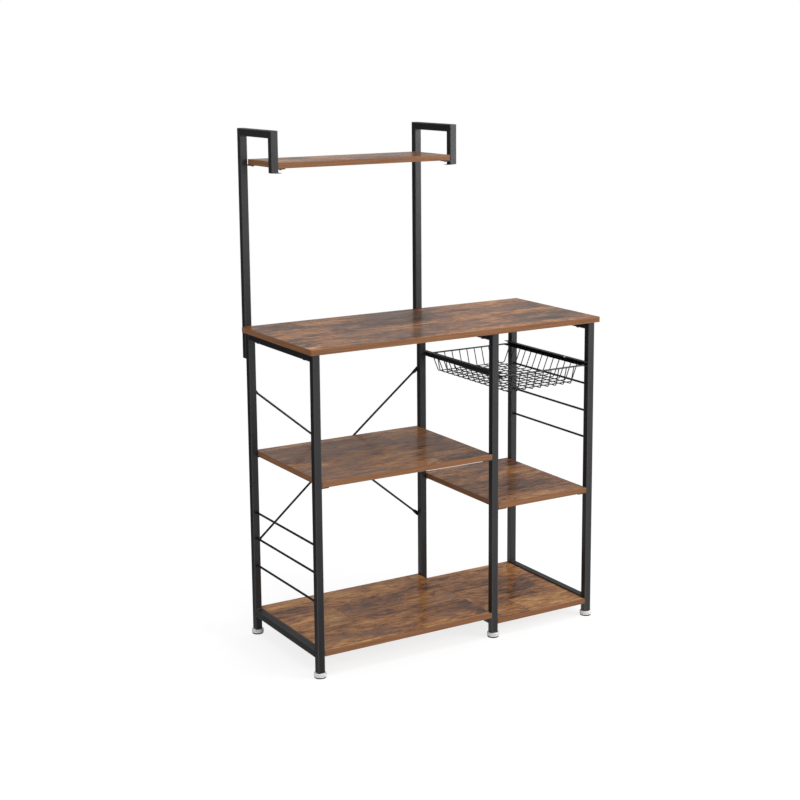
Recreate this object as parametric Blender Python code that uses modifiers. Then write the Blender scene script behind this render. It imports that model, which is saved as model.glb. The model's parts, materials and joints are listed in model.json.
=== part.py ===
"""Microwave stand: a welded tube and board kitchen rack with a hutch and a sliding wire basket.

Run with: blender --background --python part.py
Metres, +Z up. The front faces -Y. The origin is on the floor, under the middle of the object.
"""

from math import cos, pi, radians, sin, tan

import bmesh
import bpy
from mathutils import Matrix, Vector

MM = 0.001

# Overall sizes
WIDTH = 900 * MM
DEPTH = 400 * MM
TOP_HEIGHT = 866.3 * MM
HUTCH_HEIGHT = 1396 * MM
FIT = 0.3 * MM  # gap between two pieces that touch on the real object
CUT_OVERRUN = 2 * MM  # how far a cutter runs past the face that it opens
WELD = 0.01 * MM  # points closer than this are one point

# Square steel tube of the frames and of the hutch
TUBE = 20 * MM
TUBE_WALL = 1.2 * MM
TUBE_RADIUS = 2 * MM
CORNER_STEPS = 2

# Boards
BOARD = 15 * MM
BOARD_EDGE = 0.6 * MM
SIDE_OVERHANG = 10 * MM
FRONT_OVERHANG = 10 * MM

# Bays, heights of the shelves' top faces, and bars
LEFT_BAY = 520 * MM
LEFT_MIDDLE_TOP = 521.5 * MM
RIGHT_MIDDLE_TOP = 380 * MM
LEFT_BOTTOM_TOP = 72 * MM
LEFT_BAR_TOP = 72 * MM
RIGHT_BAR_TOP = 56.2 * MM
TOP_SHELF_DROP = 81.6 * MM  # below the top of the hutch posts

# Side rods, welded between the front and the rear post
SIDE_ROD = 6 * MM
LEFT_ROD_HEIGHTS = (351 * MM, 277 * MM, 199 * MM)
RIGHT_ROD_DROPS = (192.3 * MM, 269.8 * MM, 345.8 * MM)  # below the tabletop's face
ROD_SMOOTHNESS = 4

# Hutch posts: a tall upright behind the rear post, an arm and a short drop
HUTCH_OVERLAP = 88.3 * MM  # how far the uprights reach down below the tabletop's face
HUTCH_REACH = 203 * MM
DROP_LENGTH = 108 * MM
TOP_SHELF_SETBACK = 1.5 * MM
PLUG_LENGTH = 12 * MM

# Crossed brace rods on the back of the left bay
BRACE_ROD = 6 * MM
BRACE_DROP = 169.3 * MM  # from the tabletop's face down to the upper bolts
BRACE_BOTTOM = 249 * MM
BRACE_FLAT_WIDTH = 11 * MM
BRACE_FLAT_THICKNESS = 2.2 * MM
BRACE_FLAT_LENGTH = 19 * MM  # from the bolt to the start of the taper into the round rod
BRACE_TAPER = 14 * MM
BRACE_SIDES = 10
BRACE_BOW_STEPS = 12

# Bolts of the hutch and of the braces, with their weld nuts in the rear posts
BOLT = 6 * MM
BOLT_HEAD = 11 * MM
BOLT_HEAD_HEIGHT = 2.6 * MM
BOLT_EDGE = 0.8 * MM
BOLT_TIP = 1.5 * MM  # how far a bolt passes its nut
HOLE_CLEARANCE = 0.6 * MM  # on the diameter
NUT_CORNERS = 11.5 * MM
NUT_HEIGHT = 5 * MM
HUTCH_BOLT_INSET = 18 * MM
ROUND_STEPS = 10

# Screws up through the top bars into the tabletop
SCREW = 4 * MM
SCREW_BITE = 10 * MM
TABLETOP_SCREW_HEAD = 12 * MM
TABLETOP_SCREW_HEAD_HEIGHT = 3 * MM
TABLETOP_SCREW_INSET = 61 * MM  # from the outer face of a post

# Shelf tabs: small plates welded inside the frames, with a screw hole each
TAB = 2 * MM
TAB_REACH = 20 * MM
POST_TAB_REACHES = {"left": 20 * MM, "middle": 28 * MM, "right": 28 * MM}
TAB_LENGTH = 18 * MM
WELD_SINK = 0.8 * MM  # how deep a welded piece goes into a tube's wall

# Rails of the sliding basket
RAIL_WIDTH = 13 * MM
RAIL_HEIGHT = 13 * MM
RAIL_WALL = 1 * MM
RAIL_RADIUS = 0.9 * MM
RAIL_DROP = 137.8 * MM  # from the tabletop's face down to the underside of a rail
GLIDE_LENGTH = 4 * MM
GLIDE_WALL = 1 * MM
GLIDE_REACH = 5 * MM
GLIDE_PLACE = 91 * MM  # from the front of the rail

# Wire basket
RIM_WIRE = 4.5 * MM
RIM_INSET = 6.5 * MM  # from the post's inner face to the middle of the rim wire
RIM_FRONT_INSET = 3.5 * MM  # from the post's front face to the middle of the rim wire
RIM_REAR_INSET = 4.5 * MM
RIM_RADIUS = 8 * MM
RIM_CORNER_STEPS = 3
BASKET_WIRE = 2.8 * MM
BASKET_DEPTH = 48 * MM  # from the rim wire's middle to the middle of the upper floor wires
SPOT_WELD = 0.5 * MM  # how deep two crossing wires are sunk into each other
CROSS_PITCH = 27.3 * MM
CROSS_INSET = 10.7 * MM  # from the nearer end of the floor to the last cross wire
LONG_PITCH = 25.8 * MM
LONG_INSET = 11.8 * MM
HOOK_LENGTH = 9 * MM  # level stretch of a cross wire, out past the lip of the rail
SIDE_SLOPE = 28.5 * MM  # from the middle of the rim wire in to the edge of the floor
FRONT_SLOPE = 14 * MM
REAR_SLOPE = 16.5 * MM
WIRE_BEND = 6 * MM
HOOK_BEND = 3 * MM
BEND_STEPS = 2
RIM_SMOOTHNESS = 2
WIRE_SMOOTHNESS = 1

# Levelling feet
FOOT_DISC = 33 * MM
FOOT_DISC_HEIGHT = 9.7 * MM
FOOT_EDGE = 1.5 * MM
PAD_DISC = 31 * MM
PAD_HEIGHT = 3.2 * MM
PAD_EDGE = 0.6 * MM
STUD = 8 * MM
STUD_LENGTH = 22 * MM
STUD_TIP = 1 * MM
INSERT_LENGTH = 18 * MM
FOOT_STEPS = 20

# Finishes: colour, roughness, metallic
BLACK_STEEL = ((0.022, 0.022, 0.024, 1.0), 0.42, 0.0)
BLACK_SCREW = ((0.018, 0.018, 0.020, 1.0), 0.35, 0.6)
RUSTIC_BOARD = ((0.26, 0.15, 0.09, 1.0), 0.45, 0.0)
PALE_PLASTIC = ((0.75, 0.75, 0.74, 1.0), 0.4, 0.0)
DARK_PAD = ((0.05, 0.05, 0.05, 1.0), 0.7, 0.0)

# Places across the object, worked out from the sizes above
X0 = -WIDTH / 2
RIGHT_BAY = WIDTH - 2 * SIDE_OVERHANG - 3 * TUBE - LEFT_BAY
LEFT_X = X0 + SIDE_OVERHANG + TUBE / 2
MIDDLE_X = LEFT_X + TUBE + LEFT_BAY
RIGHT_X = MIDDLE_X + TUBE + RIGHT_BAY
FRAMES = {"left": LEFT_X, "middle": MIDDLE_X, "right": RIGHT_X}
HUTCHES = {"left": LEFT_X, "right": MIDDLE_X}
RAIL_FACES = {"left": MIDDLE_X + TUBE / 2, "right": RIGHT_X - TUBE / 2}
INWARD = {"left": 1, "right": -1}

# Places from front to rear
Y0 = -(DEPTH + FIT + TUBE + FIT + BOLT_HEAD_HEIGHT) / 2
POST_FRONT = Y0 + FRONT_OVERHANG
POST_REAR = Y0 + DEPTH
FRONT_Y = POST_FRONT + TUBE / 2
REAR_Y = POST_REAR - TUBE / 2
HUTCH_FRONT = POST_REAR + FIT
HUTCH_BACK = HUTCH_FRONT + TUBE
DROP_FRONT = HUTCH_BACK - HUTCH_REACH
BRACE_FRONT = POST_REAR + FIT
SCREW_Y = (POST_FRONT + TABLETOP_SCREW_INSET, POST_REAR - TABLETOP_SCREW_INSET)

# Heights
FOOT_HEIGHT = PAD_HEIGHT + FIT + FOOT_DISC_HEIGHT
POST_BOTTOM = FOOT_HEIGHT + FIT
POST_TOP = TOP_HEIGHT - BOARD - FIT
TOP_SHELF_TOP = HUTCH_HEIGHT - TOP_SHELF_DROP
RIGHT_ROD_HEIGHTS = [TOP_HEIGHT - drop for drop in RIGHT_ROD_DROPS]
BAR_TOPS = {"left": LEFT_BAR_TOP, "middle": RIGHT_BAR_TOP, "right": RIGHT_BAR_TOP}
LOW_TAB_TOP = RIGHT_BAR_TOP - TUBE + WELD_SINK
RIGHT_BOTTOM_TOP = LOW_TAB_TOP + FIT + BOARD
HUTCH_BOTTOM = TOP_HEIGHT - HUTCH_OVERLAP
DROP_BOTTOM = HUTCH_HEIGHT - DROP_LENGTH
HUTCH_BOLT_HEIGHTS = (HUTCH_BOTTOM + HUTCH_BOLT_INSET, POST_TOP - HUTCH_BOLT_INSET)
BRACE_HEIGHTS = (TOP_HEIGHT - BRACE_DROP, BRACE_BOTTOM)
RAIL_BOTTOM = TOP_HEIGHT - RAIL_DROP
RAIL_MIDDLE = RAIL_BOTTOM + RAIL_HEIGHT / 2

BORE = TUBE - 2 * TUBE_WALL
BORE_RADIUS = max(TUBE_RADIUS - TUBE_WALL, WELD)


# Scene, collections and materials

for old in list(bpy.data.objects):
    bpy.data.objects.remove(old, do_unlink=True)


def new_collection(name):
    collection = bpy.data.collections.new(name)
    bpy.context.scene.collection.children.link(collection)
    return collection


STAND = new_collection("microwave_stand")
CUTTERS = new_collection("cutters")


def make_material(name, finish):
    colour, roughness, metallic = finish
    material = bpy.data.materials.new(name)
    material.use_nodes = True
    shader = material.node_tree.nodes["Principled BSDF"]
    shader.inputs["Base Color"].default_value = colour
    shader.inputs["Roughness"].default_value = roughness
    shader.inputs["Metallic"].default_value = metallic
    material.diffuse_color = colour
    return material


def add_part(name, data, finish, parent=None):
    """Link a new object into the stand's collection, with a material of its own."""
    part = bpy.data.objects.new(name, data)
    STAND.objects.link(part)
    data.materials.clear()
    data.materials.append(make_material(name, finish))
    part.parent = parent
    return part


def add_helper(name, mesh, parent=None):
    """Link a mesh that cuts or joins a part, and isn't a part itself."""
    helper = bpy.data.objects.new(name, mesh)
    CUTTERS.objects.link(helper)
    helper.hide_render = True
    helper.display_type = "WIRE"
    helper.parent = parent
    return helper


def add_pivot(name, location):
    pivot = bpy.data.objects.new(name, None)
    pivot.location = location
    STAND.objects.link(pivot)
    return pivot


# Shapes

def smooth(mesh, angle=35):
    mesh.shade_smooth()
    mesh.set_sharp_from_angle(angle=radians(angle))


def evaluated_mesh(part):
    bpy.context.view_layer.update()
    depsgraph = bpy.context.evaluated_depsgraph_get()
    return bpy.data.meshes.new_from_object(part.evaluated_get(depsgraph))


def mesh_of_curve(curve):
    """A welded mesh of a curve, in the curve's own space. The curve is used up."""
    guide = add_helper("guide", curve)
    mesh = evaluated_mesh(guide)
    bpy.data.objects.remove(guide, do_unlink=True)
    bm = bmesh.new()
    bm.from_mesh(mesh)
    bmesh.ops.remove_doubles(bm, verts=bm.verts, dist=WELD)
    bm.to_mesh(mesh)
    bm.free()
    return mesh


def mesh_of(build):
    """A new mesh filled by build(bm)."""
    mesh = bpy.data.meshes.new("shape")
    bm = bmesh.new()
    build(bm)
    bm.to_mesh(mesh)
    bm.free()
    return mesh


def rounded_rectangle(width, height, radius, steps):
    """Points of a rectangle round the origin whose corners are arcs of the given radius."""
    points = []
    for index, (side_x, side_y) in enumerate(((1, 1), (-1, 1), (-1, -1), (1, -1))):
        centre_x = side_x * (width / 2 - radius)
        centre_y = side_y * (height / 2 - radius)
        for step in range(steps + 1):
            turn = (index + step / steps) * pi / 2
            points.append((centre_x + radius * cos(turn), centre_y + radius * sin(turn)))
    return points


def extruded(outlines, length):
    """Mesh of a flat outline, the others cut out of it, extruded from Z = 0 up."""
    curve = bpy.data.curves.new("outline", "CURVE")
    curve.dimensions = "2D"
    curve.fill_mode = "BOTH"
    curve.extrude = length / 2
    for outline in outlines:
        spline = curve.splines.new("POLY")
        spline.points.add(len(outline) - 1)
        for point, (x, y) in zip(spline.points, outline):
            point.co = (x, y, 0, 1)
        spline.use_cyclic_u = True
    mesh = mesh_of_curve(curve)
    mesh.transform(Matrix.Translation((0, 0, length / 2)))
    return mesh


def wire_curve(paths, diameter, smoothness, cyclic=False):
    """Round wire along each path: a POLY spline with the wire's radius as its bevel."""
    curve = bpy.data.curves.new("wire", "CURVE")
    curve.dimensions = "3D"
    curve.bevel_depth = diameter / 2
    curve.bevel_resolution = smoothness
    curve.use_fill_caps = True
    for path in paths:
        spline = curve.splines.new("POLY")
        spline.points.add(len(path) - 1)
        for point, place in zip(spline.points, path):
            point.co = (*place, 1)
        spline.use_cyclic_u = cyclic
        spline.use_smooth = True
    return curve


def turned(profile, steps):
    """Mesh of a profile of (radius, height) points, top to bottom, turned round Z."""
    mesh = bpy.data.meshes.new("profile")
    edges = [(index, index + 1) for index in range(len(profile) - 1)]
    mesh.from_pydata([(radius, 0, height) for radius, height in profile], edges, [])
    guide = add_helper("profile", mesh)
    screw = guide.modifiers.new("turned", "SCREW")
    screw.steps = steps
    screw.render_steps = steps
    screw.use_merge_vertices = True
    screw.merge_threshold = WELD
    shape = evaluated_mesh(guide)
    bpy.data.objects.remove(guide, do_unlink=True)
    smooth(shape)
    return shape


def add_block(bm, low, high):
    """A box between two corners."""
    low, high = Vector(low), Vector(high)
    size = Matrix.Diagonal((*(high - low), 1))
    bmesh.ops.create_cube(bm, size=1, matrix=Matrix.Translation((low + high) / 2) @ size)


def add_cylinder(bm, place, diameter, low, high, sides=ROUND_STEPS):
    """A cylinder on the place's Z axis, from low to high along it."""
    lift = Matrix.Translation((0, 0, (low + high) / 2))
    radius = diameter / 2
    bmesh.ops.create_cone(
        bm,
        cap_ends=True,
        segments=sides,
        radius1=radius,
        radius2=radius,
        depth=high - low,
        matrix=place @ lift,
    )


def pointing(place, direction):
    """Matrix that takes local +Z to the direction and the local origin to the place."""
    turn = Vector(direction).to_track_quat("Z", "Y").to_matrix().to_4x4()
    return Matrix.Translation(place) @ turn


def boolean(part, helper, operation):
    modifier = part.modifiers.new(helper.name, "BOOLEAN")
    modifier.object = helper
    modifier.operation = operation
    modifier.solver = "EXACT"


def drill(part, diameter, depth, places):
    """Cut round holes: each place's Z axis points from the hole's mouth into the part."""

    def build(bm):
        for place in places:
            add_cylinder(bm, place, diameter, -CUT_OVERRUN, depth)

    boolean(part, add_helper(part.name + "_holes", mesh_of(build)), "DIFFERENCE")


def weld_on(part, build):
    """Join welded pieces, made by build(bm), to a part."""
    boolean(part, add_helper(part.name + "_welded", mesh_of(build)), "UNION")


def bolt_mesh(shank, head, head_height, length):
    """Pan-head bolt or screw: the head's underside at Z = 0, the shank going up from it."""
    profile = (
        (0, length),
        (shank / 2, length),
        (shank / 2, 0),
        (head / 2, 0),
        (head / 2, -head_height + BOLT_EDGE),
        (head / 2 - BOLT_EDGE, -head_height),
        (0, -head_height),
    )
    return turned(profile, ROUND_STEPS)


# Side frames

def tube_mesh(length):
    """Hollow square tube from Z = 0 up."""
    outer = rounded_rectangle(TUBE, TUBE, TUBE_RADIUS, CORNER_STEPS)
    inner = rounded_rectangle(BORE, BORE, BORE_RADIUS, CORNER_STEPS)
    return extruded((outer, inner), length)


def add_tab(bm, face_x, way, y, top, reach=TAB_REACH, length=TAB_LENGTH):
    """A tab from the tube face at face_x towards the bay, sunk a little into the wall."""
    root = face_x - way * WELD_SINK
    tip = face_x + way * reach
    low_x, high_x = min(root, tip), max(root, tip)
    add_block(bm, (low_x, y - length / 2, top - TAB), (high_x, y + length / 2, top))


def tab_hole(face_x, way, y, top, reach=TAB_REACH):
    return pointing((face_x + way * reach / 2, y, top - TAB), (0, 0, 1))


POST_TABS = {
    "left": ((1, LEFT_MIDDLE_TOP),),
    "middle": ((-1, LEFT_MIDDLE_TOP), (1, RIGHT_MIDDLE_TOP)),
    "right": ((-1, RIGHT_MIDDLE_TOP),),
}
POST_RAIL_WAY = {"middle": 1, "right": -1}


def post(side, end, y):
    """Upright tube with its threaded insert, its welded shelf tabs and, behind, its weld nuts."""
    x = FRAMES[side]
    outline = rounded_rectangle(TUBE, TUBE, TUBE_RADIUS, CORNER_STEPS)
    mesh = extruded((outline,), POST_TOP - POST_BOTTOM)
    mesh.transform(Matrix.Translation((x, y, POST_BOTTOM)))
    part = add_part(side + "_" + end + "_post", mesh, BLACK_STEEL)

    bore_bottom = POST_BOTTOM + INSERT_LENGTH
    bore_outline = rounded_rectangle(BORE, BORE, BORE_RADIUS, CORNER_STEPS)
    bore = extruded((bore_outline,), POST_TOP + CUT_OVERRUN - bore_bottom)
    bore.transform(Matrix.Translation((x, y, bore_bottom)))
    boolean(part, add_helper(part.name + "_bore", bore), "DIFFERENCE")

    tabs = [
        (x + way * TUBE / 2, way, y, shelf_top - BOARD - FIT, POST_TAB_REACHES[side])
        for way, shelf_top in POST_TABS[side]
    ]
    bolt_heights = ()
    if end == "rear" and side in ("left", "middle"):
        bolt_heights = (*HUTCH_BOLT_HEIGHTS, *BRACE_HEIGHTS)
    bolt_places = [pointing((x, POST_REAR, z), (0, -1, 0)) for z in bolt_heights]

    def welded(bm):
        for tab in tabs:
            add_tab(bm, *tab)
        for place in bolt_places:
            add_cylinder(bm, place, NUT_CORNERS, WELD_SINK, TUBE_WALL + NUT_HEIGHT, 6)

    weld_on(part, welded)
    drill(part, SCREW + HOLE_CLEARANCE, TAB + CUT_OVERRUN, [tab_hole(*tab) for tab in tabs])
    stud_hole = pointing((x, y, POST_BOTTOM), (0, 0, 1))
    drill(part, STUD + HOLE_CLEARANCE, INSERT_LENGTH + CUT_OVERRUN, [stud_hole])
    if bolt_places:
        drill(part, BOLT + HOLE_CLEARANCE, TUBE_WALL + NUT_HEIGHT + CUT_OVERRUN, bolt_places)
    if side in POST_RAIL_WAY:
        way = POST_RAIL_WAY[side]
        rail_hole = pointing((x + way * TUBE / 2, y, RAIL_MIDDLE), (-way, 0, 0))
        drill(part, SCREW + HOLE_CLEARANCE, TUBE_WALL + CUT_OVERRUN, [rail_hole])
    smooth(part.data)


def bar(name, x, top):
    """Level tube from the front post to the rear post."""
    start = FRONT_Y + TUBE / 2 + FIT
    end = REAR_Y - TUBE / 2 - FIT
    mesh = tube_mesh(end - start)
    mesh.transform(pointing((x, start, top - TUBE / 2), (0, 1, 0)))
    smooth(mesh)
    return add_part(name, mesh, BLACK_STEEL)


def top_bar(side):
    x = FRAMES[side]
    part = bar(side + "_top_bar", x, POST_TOP)
    places = [pointing((x, y, POST_TOP - TUBE), (0, 0, 1)) for y in SCREW_Y]
    drill(part, SCREW + HOLE_CLEARANCE, TUBE + CUT_OVERRUN, places)


def bottom_bar(side):
    """Lower bar with the tabs of the bottom shelves: beside it, or under it on the right."""
    x = FRAMES[side]
    part = bar(side + "_bottom_bar", x, BAR_TOPS[side])
    tabs = []
    if side in ("left", "middle"):
        way = 1 if side == "left" else -1
        tab_top = min(LEFT_BOTTOM_TOP - BOARD, BAR_TOPS[side]) - FIT
        tabs += [(x + way * TUBE / 2, way, y, tab_top) for y in SCREW_Y]
    under = []
    if side in ("middle", "right"):
        way = 1 if side == "middle" else -1
        under += [(x + way * TUBE / 2, way, y, LOW_TAB_TOP) for y in SCREW_Y]

    def welded(bm):
        for tab in tabs:
            add_tab(bm, *tab)
        for face_x, way, y, tab_top in under:
            ends = sorted((face_x - way * TUBE / 2, face_x + way * TAB_REACH))
            low = (ends[0], y - TAB_LENGTH / 2, tab_top - TAB - WELD_SINK)
            add_block(bm, low, (ends[1], y + TAB_LENGTH / 2, tab_top))

    weld_on(part, welded)
    places = [tab_hole(*tab) for tab in tabs] + [tab_hole(*tab) for tab in under]
    drill(part, SCREW + HOLE_CLEARANCE, TAB + CUT_OVERRUN, places)


def side_rods(side, heights):
    """Level rods between the front and the rear post, one object each, from the top down."""
    x = FRAMES[side]
    ends = (FRONT_Y + TUBE / 2 + FIT, REAR_Y - TUBE / 2 - FIT)
    for name, z in zip(("upper", "middle", "lower"), heights):
        curve = wire_curve([[(x, y, z) for y in ends]], SIDE_ROD, ROD_SMOOTHNESS)
        add_part(side + "_" + name + "_side_rod", curve, BLACK_STEEL)


for frame_side in FRAMES:
    post(frame_side, "front", FRONT_Y)
    post(frame_side, "rear", REAR_Y)
    top_bar(frame_side)
    bottom_bar(frame_side)
side_rods("left", LEFT_ROD_HEIGHTS)
side_rods("right", RIGHT_ROD_HEIGHTS)


# Boards

def board(name, low, high):
    """A board between two corners, with lightly broken edges."""
    part = add_part(name, mesh_of(lambda bm: add_block(bm, low, high)), RUSTIC_BOARD)
    bevel = part.modifiers.new("broken_edges", "BEVEL")
    bevel.width = BOARD_EDGE
    bevel.segments = 1
    return part


def shelf(name, left, right, front, top):
    """A board between two frames, its rear edge flush with the posts."""
    low_x = left + TUBE / 2 + FIT
    high_x = right - TUBE / 2 - FIT
    return board(name, (low_x, front, top - BOARD), (high_x, POST_REAR, top))


tabletop = board("tabletop", (X0, Y0, TOP_HEIGHT - BOARD), (-X0, POST_REAR, TOP_HEIGHT))
screw_columns = [(x, y) for x in FRAMES.values() for y in SCREW_Y]
drill(
    tabletop,
    SCREW + HOLE_CLEARANCE,
    SCREW_BITE + HOLE_CLEARANCE,
    [pointing((x, y, TOP_HEIGHT - BOARD), (0, 0, 1)) for x, y in screw_columns],
)
shelf("left_middle_shelf", LEFT_X, MIDDLE_X, POST_FRONT, LEFT_MIDDLE_TOP)
shelf("right_middle_shelf", MIDDLE_X, RIGHT_X, POST_FRONT, RIGHT_MIDDLE_TOP)
shelf("left_bottom_shelf", LEFT_X, MIDDLE_X, POST_FRONT, LEFT_BOTTOM_TOP)
shelf("right_bottom_shelf", MIDDLE_X, RIGHT_X, POST_FRONT, RIGHT_BOTTOM_TOP)
shelf("top_shelf", LEFT_X, MIDDLE_X, DROP_FRONT + TOP_SHELF_SETBACK, TOP_SHELF_TOP)

tabletop_screw_length = TUBE + 2 * FIT + SCREW_BITE
for side, x in FRAMES.items():
    for end, y in zip(("front", "rear"), SCREW_Y):
        screw_mesh = bolt_mesh(SCREW, TABLETOP_SCREW_HEAD, TABLETOP_SCREW_HEAD_HEIGHT, tabletop_screw_length)
        screw_mesh.transform(pointing((x, y, POST_TOP - TUBE - FIT), (0, 0, 1)))
        add_part("tabletop_screw_" + side + "_" + end, screw_mesh, BLACK_SCREW)


# Hutch posts

def hook_outline(inset, overrun):
    """Side view of a hutch post, forwards from its back face as x, height as y."""
    reach = HUTCH_REACH - inset
    under = HUTCH_HEIGHT - TUBE + inset
    return [
        (inset, HUTCH_BOTTOM - overrun),
        (TUBE - inset, HUTCH_BOTTOM - overrun),
        (TUBE - inset, under),
        (HUTCH_REACH - TUBE + inset, under),
        (HUTCH_REACH - TUBE + inset, DROP_BOTTOM - overrun),
        (reach, DROP_BOTTOM - overrun),
        (reach, HUTCH_HEIGHT - inset),
        (inset, HUTCH_HEIGHT - inset),
    ]


def round_tube_edges(mesh, radius):
    """Round the long edges of the extruded outline. Its mitred corners and its ends stay sharp."""
    bm = bmesh.new()
    bm.from_mesh(mesh)
    bmesh.ops.dissolve_limit(bm, angle_limit=radians(1), verts=bm.verts, edges=bm.edges)
    long_edges = []
    for edge in bm.edges:
        first, last = (vert.co for vert in edge.verts)
        across = abs(first.z - last.z) > WELD
        level = abs(first.y - last.y) < WELD
        at_end = level and min(abs(first.y - z) for z in (HUTCH_BOTTOM, DROP_BOTTOM)) < WELD
        if not across and not at_end:
            long_edges.append(edge)
    bmesh.ops.bevel(bm, geom=long_edges, offset=radius, segments=CORNER_STEPS, profile=0.5, affect="EDGES")
    bm.to_mesh(mesh)
    bm.free()


def hutch_post(side):
    """Upright, arm and drop of square tube, mitred, hollow, closed by a plug at each open end."""
    x = HUTCHES[side]
    way = INWARD[side]
    turn = Matrix(((0, 0, -1, x + TUBE / 2), (-1, 0, 0, HUTCH_BACK), (0, 1, 0, 0), (0, 0, 0, 1)))
    mesh = extruded([hook_outline(0, 0)], TUBE)
    round_tube_edges(mesh, TUBE_RADIUS)
    mesh.transform(turn)
    part = add_part(side + "_hutch_post", mesh, BLACK_STEEL)

    bore = extruded([hook_outline(TUBE_WALL, -PLUG_LENGTH)], BORE)
    bore.transform(Matrix.Translation((-TUBE_WALL, 0, 0)) @ turn)
    boolean(part, add_helper(part.name + "_bore", bore), "DIFFERENCE")

    face_x = x + way * TUBE / 2
    tab_top = TOP_SHELF_TOP - BOARD - FIT
    drop_tab = (face_x, way, DROP_FRONT + TUBE / 2, tab_top)
    rear_tab_front = POST_REAR - TAB_LENGTH
    rear_tab_back = HUTCH_BACK - TUBE_RADIUS
    rear_tab = (face_x, way, (rear_tab_front + rear_tab_back) / 2, tab_top)

    def welded(bm):
        add_tab(bm, *drop_tab)
        add_tab(bm, *rear_tab, length=rear_tab_back - rear_tab_front)

    weld_on(part, welded)
    rear_hole = tab_hole(face_x, way, POST_REAR - TAB_LENGTH / 2, tab_top)
    drill(part, SCREW + HOLE_CLEARANCE, TAB + CUT_OVERRUN, [tab_hole(*drop_tab), rear_hole])
    places = [pointing((x, HUTCH_BACK, z), (0, -1, 0)) for z in HUTCH_BOLT_HEIGHTS]
    drill(part, BOLT + HOLE_CLEARANCE, TUBE + CUT_OVERRUN, places)
    smooth(part.data)


for hutch_side in HUTCHES:
    hutch_post(hutch_side)


# Brace rods

def brace_section(flat_share, width_share):
    """Section of a rod: round at flat share 0, a flattened bar with round edges at share 1."""
    straight = (BRACE_FLAT_WIDTH - BRACE_FLAT_THICKNESS) / 2
    points = []
    for step in range(BRACE_SIDES):
        turn = 2 * pi * (step + 0.5) / BRACE_SIDES
        side = 1 if cos(turn) > 0 else -1
        around = Vector((cos(turn), sin(turn)))
        flat = around * BRACE_FLAT_THICKNESS / 2 + Vector((side * straight, 0))
        point = (around * BRACE_ROD / 2).lerp(flat, flat_share)
        points.append(Vector((point.x * width_share, point.y)))
    return points


def brace_stations(length, bow):
    """Stations along a brace: distance from the first bolt, flat share, width share, rearward shift."""
    round_start = BRACE_FLAT_LENGTH + BRACE_TAPER
    bowed = length - 2 * round_start
    end = []
    for turn in (20, 45, 70, 90):
        tip = BRACE_FLAT_WIDTH / 2 * cos(radians(turn))
        end.append((-tip, 1.0, sin(radians(turn)), BRACE_FLAT_THICKNESS / 2))
    for round_share in (0.0, 0.25, 0.5, 0.75, 1.0):
        distance = BRACE_FLAT_LENGTH + round_share * BRACE_TAPER
        thickness = BRACE_FLAT_THICKNESS + (BRACE_ROD - BRACE_FLAT_THICKNESS) * round_share
        end.append((distance, 1.0 - round_share, 1.0, thickness / 2))
    middle = []
    for step in range(1, BRACE_BOW_STEPS):
        along_share = step / BRACE_BOW_STEPS
        shift = BRACE_ROD / 2 + bow * sin(pi * along_share)
        middle.append((round_start + bowed * along_share, 0.0, 1.0, shift))
    other_end = [(length - distance, *rest) for distance, *rest in reversed(end)]
    return end + middle + other_end


def brace(name, first, last, bow):
    """A rod with flattened, drilled ends: unlike sections lofted one to the next, and capped."""
    first, last = Vector(first), Vector(last)
    run = (last - first).normalized()
    rearwards = Vector((0, 1, 0))
    across = rearwards.cross(run)

    def build(bm):
        rings = []
        for distance, flat_share, width_share, shift in brace_stations((last - first).length, bow):
            centre = first + run * distance + rearwards * shift
            section = brace_section(flat_share, width_share)
            rings.append([bm.verts.new(centre + across * point.x + rearwards * point.y) for point in section])
        for near, far in zip(rings, rings[1:]):
            for index in range(BRACE_SIDES):
                after = (index + 1) % BRACE_SIDES
                bm.faces.new((near[index], near[after], far[after], far[index]))
        bm.faces.new(rings[0])
        bm.faces.new(rings[-1])
        bmesh.ops.recalc_face_normals(bm, faces=bm.faces)

    rod = add_part(name, mesh_of(build), BLACK_STEEL)
    smooth(rod.data, 50)
    places = [pointing(end + rearwards * BRACE_FLAT_THICKNESS, (0, -1, 0)) for end in (first, last)]
    drill(rod, BOLT + HOLE_CLEARANCE, BRACE_FLAT_THICKNESS + CUT_OVERRUN, places)


# The rising rod bows rearwards, so that it passes behind the falling one.
brace_corners = [[(x, BRACE_FRONT, z) for z in BRACE_HEIGHTS] for x in HUTCHES.values()]
(left_high, left_low), (right_high, right_low) = brace_corners
brace("falling_brace", left_high, right_low, 0)
brace("rising_brace", left_low, right_high, BRACE_ROD + FIT)


# Bolts of the hutch and of the braces

def bolts(name, clamped, face_y, heights):
    """Bolts from behind, through the clamped thickness and the post's wall, past the weld nut."""
    length = FIT + clamped + FIT + TUBE_WALL + NUT_HEIGHT + BOLT_TIP
    for side, x in HUTCHES.items():
        for level, z in zip(("upper", "lower"), sorted(heights, reverse=True)):
            mesh = bolt_mesh(BOLT, BOLT_HEAD, BOLT_HEAD_HEIGHT, length)
            mesh.transform(pointing((x, face_y + FIT, z), (0, -1, 0)))
            add_part(name + "_" + side + "_" + level, mesh, BLACK_SCREW)


bolts("hutch_bolt", TUBE, HUTCH_BACK, HUTCH_BOLT_HEIGHTS)
bolts("brace_bolt", BRACE_FLAT_THICKNESS, BRACE_FRONT + BRACE_FLAT_THICKNESS, BRACE_HEIGHTS)


# Basket rails and their clips

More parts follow.
